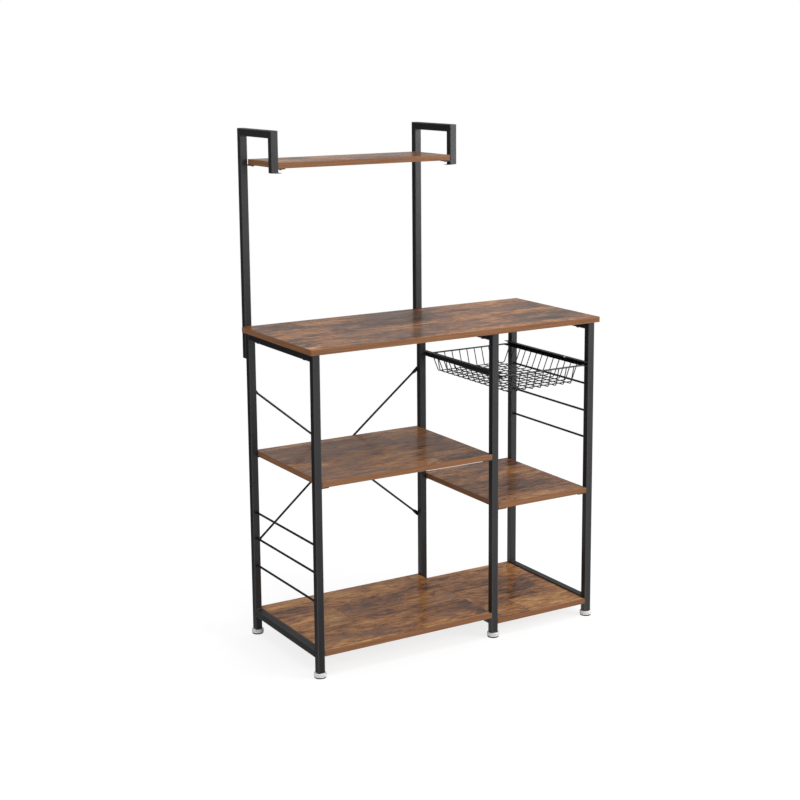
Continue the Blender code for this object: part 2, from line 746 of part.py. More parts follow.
def rail_outline():
    """C section of a rail, away from the post as x, height as y, open towards the bay."""
    outline = [
        (RAIL_WIDTH, 0),
        (RAIL_WIDTH, RAIL_WALL),
        (RAIL_WALL, RAIL_WALL),
        (RAIL_WALL, RAIL_HEIGHT - RAIL_WALL),
        (RAIL_WIDTH, RAIL_HEIGHT - RAIL_WALL),
        (RAIL_WIDTH, RAIL_HEIGHT),
    ]
    for centre, start in ((RAIL_HEIGHT - RAIL_RADIUS, pi / 2), (RAIL_RADIUS, pi)):
        for step in range(CORNER_STEPS + 1):
            turn = start + step / CORNER_STEPS * pi / 2
            outline.append((RAIL_RADIUS + RAIL_RADIUS * cos(turn), centre + RAIL_RADIUS * sin(turn)))
    return outline


def glide_outline():
    """U section of the nylon clip round the lip of a rail's upper flange."""
    lip = RAIL_WIDTH + FIT
    root = RAIL_WIDTH - GLIDE_REACH
    top = RAIL_HEIGHT + FIT
    under = RAIL_HEIGHT - RAIL_WALL - FIT
    return [
        (root, under - GLIDE_WALL),
        (lip + GLIDE_WALL, under - GLIDE_WALL),
        (lip + GLIDE_WALL, top + GLIDE_WALL),
        (root, top + GLIDE_WALL),
        (root, top),
        (lip, top),
        (lip, under),
        (root, under),
    ]


def along_rail(side, start, length):
    """Matrix for a section drawn as above: extruded over a length from the start, facing the bay."""
    face = RAIL_FACES[side] + INWARD[side] * FIT
    if side == "left":
        origin = (face, start + length, RAIL_BOTTOM)
        return Matrix.Translation(origin) @ Matrix.Rotation(pi / 2, 4, "X")
    origin = (face, start, RAIL_BOTTOM)
    return Matrix.Translation(origin) @ Matrix.Rotation(pi, 4, "Z") @ Matrix.Rotation(pi / 2, 4, "X")


for rail_side in RAIL_FACES:
    rail_length = POST_REAR - POST_FRONT
    rail_mesh = extruded([rail_outline()], rail_length)
    rail_mesh.transform(along_rail(rail_side, POST_FRONT, rail_length))
    smooth(rail_mesh)
    rail = add_part(rail_side + "_basket_rail", rail_mesh, BLACK_STEEL)
    rail_inner = RAIL_FACES[rail_side] + INWARD[rail_side] * (FIT + RAIL_WALL)
    rail_holes = [
        pointing((rail_inner, y, RAIL_MIDDLE), (-INWARD[rail_side], 0, 0)) for y in (FRONT_Y, REAR_Y)
    ]
    drill(rail, SCREW + HOLE_CLEARANCE, RAIL_WALL + CUT_OVERRUN, rail_holes)
    glide_mesh = extruded([glide_outline()], GLIDE_LENGTH)
    glide_mesh.transform(along_rail(rail_side, POST_FRONT + GLIDE_PLACE, GLIDE_LENGTH))
    add_part(rail_side + "_rail_clip", glide_mesh, PALE_PLASTIC)


# Wire basket, round the middle of its rim, on the pivot that slides

RIM_LEFT = RAIL_FACES["left"] + RIM_INSET
RIM_RIGHT = RAIL_FACES["right"] - RIM_INSET
RIM_FRONT = POST_FRONT + RIM_FRONT_INSET
RIM_REAR = POST_REAR - RIM_REAR_INSET
RIM_WIDTH = RIM_RIGHT - RIM_LEFT
RIM_DEPTH = RIM_REAR - RIM_FRONT
RIM_Z = RAIL_BOTTOM + RAIL_WALL + FIT + RIM_WIRE / 2
RIM_GAP = RIM_WIRE / 2 + FIT
LONG_DROP = BASKET_DEPTH + BASKET_WIRE - SPOT_WELD
BASKET_SLIDE = add_pivot("basket_slide", ((RIM_LEFT + RIM_RIGHT) / 2, (RIM_FRONT + RIM_REAR) / 2, RIM_Z))


def bent_path(corners, radii):
    """A path through the corners, each inner one replaced by an arc of its own radius."""
    corners = [Vector(corner) for corner in corners]
    path = [corners[0]]
    for before, corner, after, radius in zip(corners, corners[1:], corners[2:], radii):
        back = (before - corner).normalized()
        ahead = (after - corner).normalized()
        half = back.angle(ahead) / 2
        centre = corner + (back + ahead).normalized() * radius / sin(half)
        start = (corner + back * radius / tan(half) - centre).normalized()
        end = (corner + ahead * radius / tan(half) - centre).normalized()
        path += [centre + start.slerp(end, step / BEND_STEPS) * radius for step in range(BEND_STEPS + 1)]
    path.append(corners[-1])
    return path


def spread(half_length, pitch):
    """Places of evenly spaced wires from minus to plus the half length, about a pitch apart."""
    gaps = round(2 * half_length / pitch)
    return [(2 * index / gaps - 1) * half_length for index in range(gaps + 1)]


def cross_wire(y):
    """Path of a wire from side to side: hook, slope, floor, slope, hook."""
    edge = RIM_WIDTH / 2
    half = [
        (edge - RIM_GAP, y, 0),
        (edge - HOOK_LENGTH, y, 0),
        (edge - SIDE_SLOPE, y, -BASKET_DEPTH),
    ]
    other_half = [(-x, y, z) for x, y, z in reversed(half)]
    return bent_path(half + other_half, (HOOK_BEND, WIRE_BEND, WIRE_BEND, HOOK_BEND))


def long_wire(x):
    """Path of a wire from front to rear: slope, floor under the cross wires, slope."""
    corners = []
    for rim_y, slope_run in ((-RIM_DEPTH / 2, FRONT_SLOPE), (RIM_DEPTH / 2, -REAR_SLOPE)):
        rim_point = Vector((x, rim_y, 0))
        floor_point = Vector((x, rim_y + slope_run, -LONG_DROP))
        away = (floor_point - rim_point).normalized()
        corners.append([rim_point + away * RIM_GAP, floor_point])
    front, rear = corners
    return bent_path(front + rear[::-1], (WIRE_BEND, WIRE_BEND))


rim_path = [(x, y, 0) for x, y in rounded_rectangle(RIM_WIDTH, RIM_DEPTH, RIM_RADIUS, RIM_CORNER_STEPS)]
rim_curve = wire_curve([rim_path], RIM_WIRE, RIM_SMOOTHNESS, cyclic=True)
add_part("basket_rim", rim_curve, BLACK_STEEL, BASKET_SLIDE)

cross_half = RIM_DEPTH / 2 - max(FRONT_SLOPE, REAR_SLOPE) - CROSS_INSET
long_half = RIM_WIDTH / 2 - SIDE_SLOPE - LONG_INSET
cross_paths = [cross_wire(y) for y in spread(cross_half, CROSS_PITCH)]
long_paths = [long_wire(x) for x in spread(long_half, LONG_PITCH)]
cross_mesh = mesh_of_curve(wire_curve(cross_paths, BASKET_WIRE, WIRE_SMOOTHNESS))
long_mesh = mesh_of_curve(wire_curve(long_paths, BASKET_WIRE, WIRE_SMOOTHNESS))
basket_wires = add_part("basket_wires", cross_mesh, BLACK_STEEL, BASKET_SLIDE)
boolean(basket_wires, add_helper("basket_long_wires", long_mesh, BASKET_SLIDE), "UNION")


# Levelling feet, each on the pivot that is its screw's axis

def foot_mesh():
    """Disc and stud of a foot, turned. Z = 0 is the top face of the disc."""
    disc = FOOT_DISC / 2
    profile = (
        (0, STUD_LENGTH),
        (STUD / 2 - STUD_TIP, STUD_LENGTH),
        (STUD / 2, STUD_LENGTH - STUD_TIP),
        (STUD / 2, 0),
        (disc - FOOT_EDGE, 0),
        (disc, -FOOT_EDGE),
        (disc, -FOOT_DISC_HEIGHT),
        (0, -FOOT_DISC_HEIGHT),
    )
    return turned(profile, FOOT_STEPS)


def pad_mesh():
    """Dark pad under the disc, turned, its top face just below the disc."""
    pad = PAD_DISC / 2
    top = -FOOT_DISC_HEIGHT - FIT
    bottom = top - PAD_HEIGHT
    profile = ((0, top), (pad, top), (pad, bottom + PAD_EDGE), (pad - PAD_EDGE, bottom), (0, bottom))
    return turned(profile, FOOT_STEPS)


for foot_side, foot_x in FRAMES.items():
    for foot_end, foot_y in (("front", FRONT_Y), ("rear", REAR_Y)):
        foot_name = foot_side + "_" + foot_end + "_foot"
        screw_axis = add_pivot(foot_name + "_screw", (foot_x, foot_y, FOOT_HEIGHT))
        add_part(foot_name, foot_mesh(), PALE_PLASTIC, screw_axis)
        add_part(foot_name + "_pad", pad_mesh(), DARK_PAD, screw_axis)
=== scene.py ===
# %% [markdown]
# # A microwave stand, dressed for its picture
#
# The stand is a welded rack of black square tube with boards that look like old planks, a raised
# shelf on two bent-over posts, and a wire basket that slides on two rails. Its solids were made
# and packed before. This notebook loads them as a fixed frame, sets up the camera, the light and
# the floor, and gives each surface its finish. It replaces the small round things (wire, rod, bolt
# heads, feet) by finer surfaces worked out with numpy, and adds small things that the solids leave
# out: the shelf and rail screws, the lips of the tube plugs and the weld beads.
#
# Everything is in metres. +Z is up, the front faces -Y, and the origin is on the floor under the
# middle of the stand. A piece that is added here is made where it belongs, so its object stays at
# the origin, and it rides on the body that carries it, so that it moves when the basket is pulled
# out or a foot is screwed down.

import json

import bmesh
import bpy
import numpy as np
from mathutils import Matrix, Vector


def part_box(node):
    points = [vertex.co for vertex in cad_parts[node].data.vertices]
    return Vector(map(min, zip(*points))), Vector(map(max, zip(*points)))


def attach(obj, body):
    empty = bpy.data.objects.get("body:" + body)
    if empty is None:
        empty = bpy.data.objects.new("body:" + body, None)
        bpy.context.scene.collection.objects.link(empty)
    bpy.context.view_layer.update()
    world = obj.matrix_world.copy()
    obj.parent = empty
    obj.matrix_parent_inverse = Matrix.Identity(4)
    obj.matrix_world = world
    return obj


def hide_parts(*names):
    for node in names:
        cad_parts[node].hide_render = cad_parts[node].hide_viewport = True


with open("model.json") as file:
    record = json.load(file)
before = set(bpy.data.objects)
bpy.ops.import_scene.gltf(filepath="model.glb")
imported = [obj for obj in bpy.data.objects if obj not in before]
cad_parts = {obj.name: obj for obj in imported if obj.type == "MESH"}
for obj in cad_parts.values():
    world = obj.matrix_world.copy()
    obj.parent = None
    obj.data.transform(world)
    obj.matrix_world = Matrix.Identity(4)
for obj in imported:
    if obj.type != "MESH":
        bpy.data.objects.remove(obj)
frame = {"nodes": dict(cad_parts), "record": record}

NODES = frame["nodes"]
MM = 0.001
TUBE = 20 * MM  # side of the square tube
GAP = 0.3 * MM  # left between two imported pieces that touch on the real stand
ACROSS, BACK, UP = np.eye(3)
SQUARE = np.array(((-1, -1, 0), (1, -1, 0), (1, 1, 0), (-1, 1, 0)))
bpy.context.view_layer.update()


def unit(vectors):
    """The vectors divided by their lengths."""
    return vectors / np.linalg.norm(vectors, axis=-1, keepdims=True)


# %% [markdown]
# ## The camera
#
# The photograph was taken with a long lens, a little above the tabletop, from the left of the
# stand. The camera here comes from a fit of about ninety points of the stand to the picture. Its
# optical axis lies a little above the middle of the picture, and a small lens shift says so: with
# no shift at all the posts would lean towards each other more than they do in the photograph. The
# shift stays small, so that the whole stand is still in view when the camera is taken elsewhere.

# %% Camera
PHOTO_SIDE = 800
SENSOR_MM = 36
FOCAL_PX = 1553.514
AXIS_ROW_PX = 336.0
CAMERA_PLACE = (-2.1928, -3.5613, 1.5904)
YAW, PITCH, ROLL = np.radians((30.831, 10.3669, -0.4553))


def camera_turn(yaw, pitch, roll):
    """Right, up and backward directions of a camera that looks along +Y, turned to the right by the
    yaw, down by the pitch, and then about its own axis by the roll."""
    forward = np.array((np.sin(yaw) * np.cos(pitch), np.cos(yaw) * np.cos(pitch), -np.sin(pitch)))
    level = np.array((np.cos(yaw), -np.sin(yaw), 0))
    above = np.cross(level, forward)
    right = np.cos(roll) * level + np.sin(roll) * above
    up = -np.sin(roll) * level + np.cos(roll) * above
    return right, up, -forward


scene = bpy.context.scene


def stand_at(name, data, place, axes):
    """An object in the scene, its origin at a place and its own X, Y and Z along the three axes."""
    thing = bpy.data.objects.new(name, data)
    scene.collection.objects.link(thing)
    turn = Matrix(np.column_stack(axes).tolist()).to_4x4()
    thing.matrix_world = Matrix.Translation(place) @ turn
    return thing


camera_data = bpy.data.cameras.new("photo_camera")
camera_data.lens = FOCAL_PX * SENSOR_MM / PHOTO_SIDE
camera_data.sensor_width = SENSOR_MM
camera_data.shift_y = AXIS_ROW_PX / PHOTO_SIDE - 0.5
scene.camera = stand_at("photo_camera", camera_data, CAMERA_PLACE, camera_turn(YAW, PITCH, ROLL))
scene.view_settings.view_transform = "Standard"
print("lens", round(camera_data.lens, 1), "mm, shift", round(camera_data.shift_y, 3))


# %% [markdown]
# ## Building with nodes
#
# Every finish below is a small graph of shader nodes, and a few helpers keep the graphs short.
# `add_node` adds a node and connects its inputs: an input that is given as another node's output is
# linked, and any other value is set on the socket. The six after it add the nodes that come up
# again and again, `new_finish` starts a material, and `paint` sets or links its sockets.

# %% Node helpers
def connect(tree, socket, value):
    """Link the socket to another node's output, or set it to a plain value."""
    if isinstance(value, bpy.types.NodeSocket):
        tree.links.new(value, socket)
    else:
        socket.default_value = value


def add_node(tree, kind, inputs=None, **settings):
    """A shader node with its settings and its inputs, which are named or numbered."""
    node = tree.nodes.new("ShaderNode" + kind)
    for name, value in settings.items():
        setattr(node, name, value)
    for name, value in (inputs or {}).items():
        connect(tree, node.inputs[name], value)
    return node


def maths(tree, operation, first, second=0.0, third=0.0):
    """Output of a maths node."""
    return add_node(tree, "Math", {0: first, 1: second, 2: third}, operation=operation).outputs[0]


def remap(tree, value, low, high, new_low, new_high, smooth=False):
    """Output of a map range node: low and high become new_low and new_high, and it is clamped."""
    kind = "SMOOTHSTEP" if smooth else "LINEAR"
    numbers = {0: value, 1: low, 2: high, 3: new_low, 4: new_high}
    return add_node(tree, "MapRange", numbers, interpolation_type=kind, clamp=True).outputs[0]


def blend_colour(tree, share, first, second):
    """Output of a colour mix: the first colour at share 0, the second at share 1."""
    inputs = {"Factor": share, 6: first, 7: second}
    return add_node(tree, "Mix", inputs, data_type="RGBA").outputs[2]


def vector_maths(tree, operation, first, second=(0, 0, 0)):
    """Output of a vector maths node. A place multiplied by small numbers stretches a pattern."""
    return add_node(tree, "VectorMath", {0: first, 1: second}, operation=operation).outputs[0]


def noise(tree, place, detail=3.0, roughness=0.5, scale=1.0):
    """Output of a noise texture, 0 to 1 with 0.5 as its middle."""
    numbers = {"Vector": place, "Scale": scale, "Detail": detail, "Roughness": roughness}
    return add_node(tree, "TexNoise", numbers).outputs[0]


def relief(tree, height, strength, distance):
    """Output of a bump node, which bends the light as if the surface had that relief."""
    inputs = {"Strength": strength, "Distance": distance, "Height": height}
    return add_node(tree, "Bump", inputs).outputs[0]


def paint(tree, shader, **surface):
    """Set or link the shader's sockets, the spaces in their names written as underscores."""
    for socket, value in surface.items():
        connect(tree, shader.inputs[socket.replace("_", " ")], value)


def new_finish(name, **surface):
    """A material with its shader's own sockets set, and the place on the object to build patterns on."""
    finish = bpy.data.materials.new(name)
    finish.use_nodes = True
    tree = finish.node_tree
    shader = tree.nodes["Principled BSDF"]
    paint(tree, shader, **surface)
    place = add_node(tree, "TexCoord").outputs["Object"]
    return finish, tree, shader, place


def rgb(red, green, blue):
    """A colour on a screen, 0 to 255, as the linear numbers of a shader, by the sRGB curve."""
    share = np.array((red, green, blue)) / 255
    linear = np.where(share <= 0.04045, share / 12.92, ((share + 0.055) / 1.055) ** 2.4)
    return (*linear.tolist(), 1.0)


print("node helpers ready, mid grey is", round(rgb(128, 128, 128)[0], 3))


# %% [markdown]
# ## Light, background and floor
#
# The picture is a studio shot on white with no hard shadow anywhere. Three soft boxes, area lamps
# of a metre or more, light it: a wide one from above for the boards, one from the front and the
# right, and a weak one from the front and the left. The right one stands clear of the direction in
# which the front faces mirror the camera, because the black tubes would shine grey there. At these
# strengths a colour renders about as it is given.
#
# The white background is a colour and not a light. The camera sees white, and what lights the stand
# is a calmer grey. What glossy surfaces mirror is white on the right and dark on the left, like the
# unlit side of a studio. That gives the black tubes their dark left faces and grey front faces.
#
# The floor gives the same three answers. The camera sees a glow with a little of the light that
# falls on it, so that a faint shadow shows near the stand. The stand is lit by a pale grey, and
# glossy surfaces mirror a floor that goes from dark to bright.

# %% World
AMBIENT = (0.5, 0.5, 0.51, 1.0)
WHITE = (1.0, 1.0, 1.0, 1.0)
MIRROR_LEFT, MIRROR_RIGHT = -0.45, 0.35  # how far a direction leans sideways
MIRROR_DARK, MIRROR_BRIGHT = 0.06, 0.95

world = bpy.data.worlds.new("studio")
scene.world = world
world.use_nodes = True
sky = world.node_tree
sky.nodes.clear()
looking = add_node(sky, "TexCoord").outputs["Generated"]
sideways = add_node(sky, "SeparateXYZ", {0: looking}).outputs["X"]
mirrored = remap(sky, sideways, MIRROR_LEFT, MIRROR_RIGHT, MIRROR_DARK, MIRROR_BRIGHT, smooth=True)
rays = add_node(sky, "LightPath").outputs
seen = maths(sky, "MAXIMUM", rays["Is Camera Ray"], rays["Is Transmission Ray"])
lit_or_mirror = blend_colour(sky, rays["Is Glossy Ray"], AMBIENT, mirrored)
sky_colour = blend_colour(sky, seen, lit_or_mirror, WHITE)
background = add_node(sky, "Background", {"Color": sky_colour, "Strength": 1.0})
add_node(sky, "OutputWorld", {"Surface": background.outputs[0]})
print("world: ambient", AMBIENT[0], "for diffuse rays, white for the camera")


# %% Lamps
def soft_box(name, place, target, size, watts):
    """A square area lamp at a place, turned so that its face looks at the target."""
    lamp = bpy.data.lights.new(name, "AREA")
    lamp.shape = "SQUARE"
    lamp.size = size
    lamp.energy = watts
    backward = unit(np.array(place) - target)
    across = unit(np.cross(UP, backward))
    stand_at(name, lamp, place, (across, np.cross(backward, across), backward))


soft_box("front_right_box", (2.5, -2.7, 1.9), (0, 0, 0.55), 1.8, 66)
soft_box("front_left_box", (-2.4, -2.2, 1.3), (0, 0, 0.6), 1.4, 16)
soft_box("top_box", (0.2, -0.4, 4.8), (0, 0, 0.6), 3.2, 88)
print("lamps:", len(bpy.data.lights))


# %% Floor
FLOOR_HALF = 7.0
FLOOR_GREY = (0.78, 0.78, 0.78, 1.0)
GLOW = 0.8
SHADED_GREY = (0.26, 0.26, 0.26, 1.0)  # the part of the seen floor that a shadow can take away
FADE_START, FADE_END = 0.8, 2.2
FLOOR_LEFT, FLOOR_RIGHT = -1.1, 0.9
FLOOR_DARK, FLOOR_BRIGHT = 0.03, 0.85

floor_mesh = bpy.data.meshes.new("floor")
floor_mesh.from_pydata((SQUARE * FLOOR_HALF).tolist(), [], [(0, 1, 2, 3)])
floor = bpy.data.objects.new("floor", floor_mesh)
scene.collection.objects.link(floor)

floor_paint, tree, shader, place = new_finish(
    "white_floor", Base_Color=FLOOR_GREY, Roughness=0.6, Specular_IOR_Level=0.1
)
rays = add_node(tree, "LightPath").outputs
seen = maths(tree, "MAXIMUM", rays["Is Camera Ray"], rays["Is Transmission Ray"])
glow = add_node(tree, "Emission", {"Color": WHITE, "Strength": GLOW}).outputs[0]
shade = add_node(tree, "BsdfDiffuse", {"Color": SHADED_GREY}).outputs[0]
near = add_node(tree, "AddShader", {0: glow, 1: shade}).outputs[0]
far = add_node(tree, "Emission", {"Color": WHITE, "Strength": 1.0}).outputs[0]
away = add_node(tree, "VectorMath", {0: place}, operation="LENGTH").outputs["Value"]
fading = remap(tree, away, FADE_START, FADE_END, 0.0, 1.0, smooth=True)
shown = add_node(tree, "MixShader", {0: fading, 1: near, 2: far}).outputs[0]
side = add_node(tree, "SeparateXYZ", {0: place}).outputs["X"]
mirrored = remap(tree, side, FLOOR_LEFT, FLOOR_RIGHT, FLOOR_DARK, FLOOR_BRIGHT, smooth=True)
mirror = add_node(tree, "Emission", {"Color": WHITE, "Strength": mirrored}).outputs[0]
glossy_mix = {0: rays["Is Glossy Ray"], 1: shader.outputs[0], 2: mirror}
unseen = add_node(tree, "MixShader", glossy_mix).outputs[0]
answer = add_node(tree, "MixShader", {0: seen, 1: unseen, 2: shown}).outputs[0]
tree.links.new(answer, tree.nodes["Material Output"].inputs["Surface"])
floor_mesh.materials.append(floor_paint)
print("floor", 2 * FLOOR_HALF, "m wide")


# %% [markdown]
# ## Black powder coat
#
# The tubes are coated with black powder that is baked until it flows. It never gets quite flat:
# seen close, it has a fine grain, and a slower unevenness like the skin of an orange. Both are
# noise that bends the light through a bump node, the first about a millimetre wide, the second
# four. The roughness wanders a little too, so that a long tube doesn't shine evenly from end to
# end.
#
# A face that looks up gathers dust, so it is duller. The corners of square tube get a painted
# highlight: a lighter colour that stands for the light a rounded corner catches. A corner is known
# by its normal: the sizes of the normal's three parts add up to 1 on a flat face and to more on a
# slanted one.

# %% Powder coat
FACES_UP = 0.8  # the least upward part of the normal of a face that looks up
SLANT_START, SLANT_FULL = 1.1, 1.25
DUST_ROUGHNESS = 0.2
DUST_SHINE = -0.32


def powder_coat(name, low, high, roughness, corner_highlight=None):
    """Black coat whose colour wanders between two near-blacks and whose skin is slightly uneven. It is
    duller where it faces up, and on the corners of square tube it may have a painted highlight, a
    lighter colour that stands for the light a rounded corner catches."""
    finish, tree, shader, place = new_finish(name, IOR=1.5)
    drift = noise(tree, place, detail=4.0, scale=9.0)
    skin = noise(tree, place, detail=2.0, scale=260.0)
    grain = noise(tree, place, detail=1.0, scale=1100.0)
    colour = blend_colour(tree, drift, low, high)
    worn = remap(tree, drift, 0.3, 0.7, roughness - 0.05, roughness + 0.06)
    facing_way = add_node(tree, "TexCoord").outputs["Normal"]
    # painted highlight: where the normal is slanted, the colour is blended towards a lighter one
    if corner_highlight:
        sizes = vector_maths(tree, "ABSOLUTE", facing_way)
        slant = add_node(tree, "VectorMath", {0: sizes, 1: (1, 1, 1)}, operation="DOT_PRODUCT")
        on_corner = remap(tree, slant.outputs["Value"], SLANT_START, SLANT_FULL, 0.0, 1.0)
        colour = blend_colour(tree, on_corner, colour, corner_highlight)
    upwards = add_node(tree, "SeparateXYZ", {0: facing_way}).outputs["Z"]
    dusty = maths(tree, "GREATER_THAN", upwards, FACES_UP)
    paint(
        tree,
        shader,
        Base_Color=colour,
        Roughness=maths(tree, "MULTIPLY_ADD", dusty, DUST_ROUGHNESS, worn),
        Specular_IOR_Level=maths(tree, "MULTIPLY_ADD", dusty, DUST_SHINE, 0.5),
        Normal=relief(tree, maths(tree, "MULTIPLY_ADD", grain, 0.35, skin), 0.16, 0.4 * MM),
    )
    return finish


# the last colour is the painted highlight on the tube corners
tube_coat = powder_coat(
    "tube_powder_coat", (0.013, 0.013, 0.0145, 1), (0.021, 0.021, 0.023, 1), 0.36, (0.06, 0.06, 0.063, 1)
)
rod_coat = powder_coat("rod_powder_coat", (0.006, 0.006, 0.007, 1), (0.011, 0.011, 0.012, 1), 0.3)
screw_coat = powder_coat("screw_black", (0.010, 0.010, 0.011, 1), (0.022, 0.022, 0.023, 1), 0.28)
print("coats:", tube_coat.name, rod_coat.name, screw_coat.name)


# %% [markdown]
# ## The board print
#
# The boards aren't solid wood. They are chipboard with a printed paper that looks like old planks,
# under a thin clear layer, and a plain orange-brown strip glued round the edge. So the material
# has the same layers:
#
# - planks along X, about a hand wide, each with a tone of its own, from a brick texture, and a fine
#   dark line between them;
# - wear, figure, fleck and grain: four noises, stretched more and more along X, from stains as long
#   as an arm to hair-thin streaks. Their sum goes through one row of browns, so that every size of
#   mark can be anything from nearly black to tan;
# - smoke: soft stains where the old planks have greyed;
# - burns: dark smudges with ragged ends;
# - pores: short black hairs along the grain;
# - a dark line round the rim of the top and the underside;
# - the edge strip, wherever the surface doesn't face up or down, with fine streaks along it;
# - the clear layer, as a weak coat, which mirrors the posts near a grazing view.
#
# A photograph of a board would repeat, and end at its edges. The noises go on for ever, so each
# board takes its print from another place.

# %% Board print
PLANK_WIDTH = 0.128
PLANK_LENGTH = 0.83
BROWNS = (
    (0.14, rgb(52, 37, 28)),
    (0.30, rgb(92, 62, 44)),
    (0.43, rgb(134, 87, 53)),
    (0.57, rgb(166, 112, 66)),
    (0.72, rgb(192, 138, 82)),
    (0.88, rgb(215, 168, 110)),
)
GREY_STAIN = rgb(112, 86, 72)
BURN = rgb(50, 34, 25)
PORE = rgb(38, 26, 20)
SEAM = rgb(36, 25, 20)
RIM_BROWN = rgb(52, 34, 25)
RIM_LINE_FULL, RIM_LINE_END = 1.2 * MM, 2.4 * MM
STRIP_DARK, STRIP_LIGHT = rgb(122, 82, 54), rgb(152, 108, 76)

# For each noise of the print: its scale along X, Y and Z, its detail and its roughness.
MARKS = {
    "wear": ((3.6, 12.0, 3.0), 8.0, 0.66),
    "figure": ((15.0, 54.0, 5.0), 6.0, 0.72),
    "fleck": ((27.0, 125.0, 8.0), 5.0, 0.8),
    "grain": ((30.0, 420.0, 9.0), 4.0, 0.72),
    "smoke": ((3.2, 9.0, 7.0), 6.0, 0.66),
    "burn": ((20.0, 52.0, 11.0), 8.0, 0.74),
    "pore": ((60.0, 900.0, 20.0), 2.0, 0.5),
}
# For each noise in the sum of browns: the values that become 0 and 1, and its weight.
BROWN_SUM = (
    ("wear", 0.35, 0.65, 0.42),
    ("figure", 0.36, 0.64, 0.24),
    ("fleck", 0.4, 0.6, 0.31),
    ("grain", 0.34, 0.66, 0.14),
)
TONE_WEIGHT = 0.16


def colour_row(tree, value, stops):
    """Output of a colour ramp with the given places and colours."""
    ramp_node = add_node(tree, "ValToRGB", {"Fac": value})
    stops_of = ramp_node.color_ramp.elements
    while len(stops_of) < len(stops):
        stops_of.new(1.0)
    for element, (place, colour) in zip(stops_of, stops):
        element.position = place
        element.color = colour
    return ramp_node.outputs[0]


def board_print(board, shift, age, lightness):
    """Old-plank print with its rim line and edge strip. The shift says which part of the endless
    print the board has, the age how much of it has greyed, and the lightness moves all of it along
    the row of browns."""
    finish, tree, shader, place = new_finish(
        board + "_print", Specular_IOR_Level=0.05, Coat_Weight=0.16, Coat_Roughness=0.15, Coat_IOR=1.5
    )
    moved = vector_maths(tree, "ADD", place, shift)

    brick_inputs = {"Vector": moved, "Scale": 1.0, "Mortar Size": 0.0011, "Mortar Smooth": 0.4}
    brick_inputs |= {"Brick Width": PLANK_LENGTH, "Row Height": PLANK_WIDTH}
    brick_inputs |= {"Color1": (0, 0, 0, 1), "Color2": WHITE, "Mortar": (0.5, 0.5, 0.5, 1)}
    planks = add_node(tree, "TexBrick", brick_inputs, offset=0.37, offset_frequency=2)
    tone = add_node(tree, "SeparateColor", {0: planks.outputs["Color"]}).outputs[0]
    jump = add_node(tree, "CombineXYZ", {"X": maths(tree, "MULTIPLY", tone, 5.3), "Z": tone}).outputs[0]
    grained = vector_maths(tree, "ADD", moved, jump)

    wander = noise(tree, vector_maths(tree, "MULTIPLY", grained, (4.0, 9.0, 3.0)), detail=3.0)
    sway = add_node(tree, "CombineXYZ", {"Y": remap(tree, wander, 0.25, 0.75, -0.02, 0.02)}).outputs[0]
    grained = vector_maths(tree, "ADD", grained, sway)

    marks = {
        name: noise(tree, vector_maths(tree, "MULTIPLY", grained, scale), detail, roughness)
        for name, (scale, detail, roughness) in MARKS.items()
    }
    value = lightness
    for name, low, high, weight in BROWN_SUM:
        share = remap(tree, marks[name], low, high, 0.0, 1.0)
        value = maths(tree, "MULTIPLY_ADD", share, weight, value)
    value = maths(tree, "MULTIPLY_ADD", maths(tree, "SUBTRACT", tone, 0.5), TONE_WEIGHT, value)
    colour = colour_row(tree, value, BROWNS)

    low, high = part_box(board)
    here = add_node(tree, "SeparateXYZ", {0: place}).outputs
    to_edge = 1.0
    for axis, name in enumerate("XY"):
        after_low = maths(tree, "SUBTRACT", here[name], low[axis])
        before_high = maths(tree, "SUBTRACT", high[axis], here[name])
        to_edge = maths(tree, "MINIMUM", to_edge, maths(tree, "MINIMUM", after_low, before_high))
    for share, stain in (
        (remap(tree, marks["smoke"], 0.5 - age, 0.7 - age, 0.0, 0.7, smooth=True), GREY_STAIN),
        (remap(tree, marks["burn"], 0.57, 0.68, 0.0, 0.8, smooth=True), BURN),
        (remap(tree, marks["pore"], 0.64, 0.74, 0.0, 0.6), PORE),
        (maths(tree, "MULTIPLY", planks.outputs["Fac"], 0.6), SEAM),
        (remap(tree, to_edge, RIM_LINE_FULL, RIM_LINE_END, 0.75, 0.0), RIM_BROWN),
    ):
        colour = blend_colour(tree, share, colour, stain)

    streaks = noise(tree, vector_maths(tree, "MULTIPLY", place, (6.0, 6.0, 420.0)), 4.0, 0.6)
    strip_share = remap(tree, streaks, 0.3, 0.7, 0.0, 1.0)
    strip = blend_colour(tree, strip_share, STRIP_DARK, STRIP_LIGHT)
    facing_way = add_node(tree, "TexCoord").outputs["Normal"]
    upwards = maths(tree, "ABSOLUTE", add_node(tree, "SeparateXYZ", {0: facing_way}).outputs["Z"])
    on_face = maths(tree, "GREATER_THAN", upwards, FACES_UP)
    paint(
        tree,
        shader,
        Base_Color=blend_colour(tree, on_face, strip, colour),
        Roughness=remap(tree, marks["grain"], 0.3, 0.7, 0.44, 0.56),
        Normal=relief(tree, marks["grain"], 0.14, 0.3 * MM),
    )
    return finish


# For each board: its shift, age and lightness.
BOARD_PRINTS = {
    "tabletop": ((0.31, 0.045, 0.0), 0.02, -0.13),
    "left_middle_shelf": ((0.05, 0.10, 0.2), 0.07, -0.03),
    "right_middle_shelf": ((1.17, 0.02, 0.4), -0.02, -0.02),
    "left_bottom_shelf": ((0.77, 0.06, 0.6), 0.01, 0.0),
    "right_bottom_shelf": ((1.43, 0.09, 0.8), -0.04, 0.0),
    "top_shelf": ((2.11, 0.03, 1.0), 0.05, -0.12),
}


def give(piece, finish):
    """Put one finish in every material slot of a piece."""
    for slot in piece.material_slots:
        slot.material = finish


for board, (shift, age, lightness) in BOARD_PRINTS.items():
    give(NODES[board], board_print(board, shift, age, lightness))
print("boards:", ", ".join(BOARD_PRINTS))


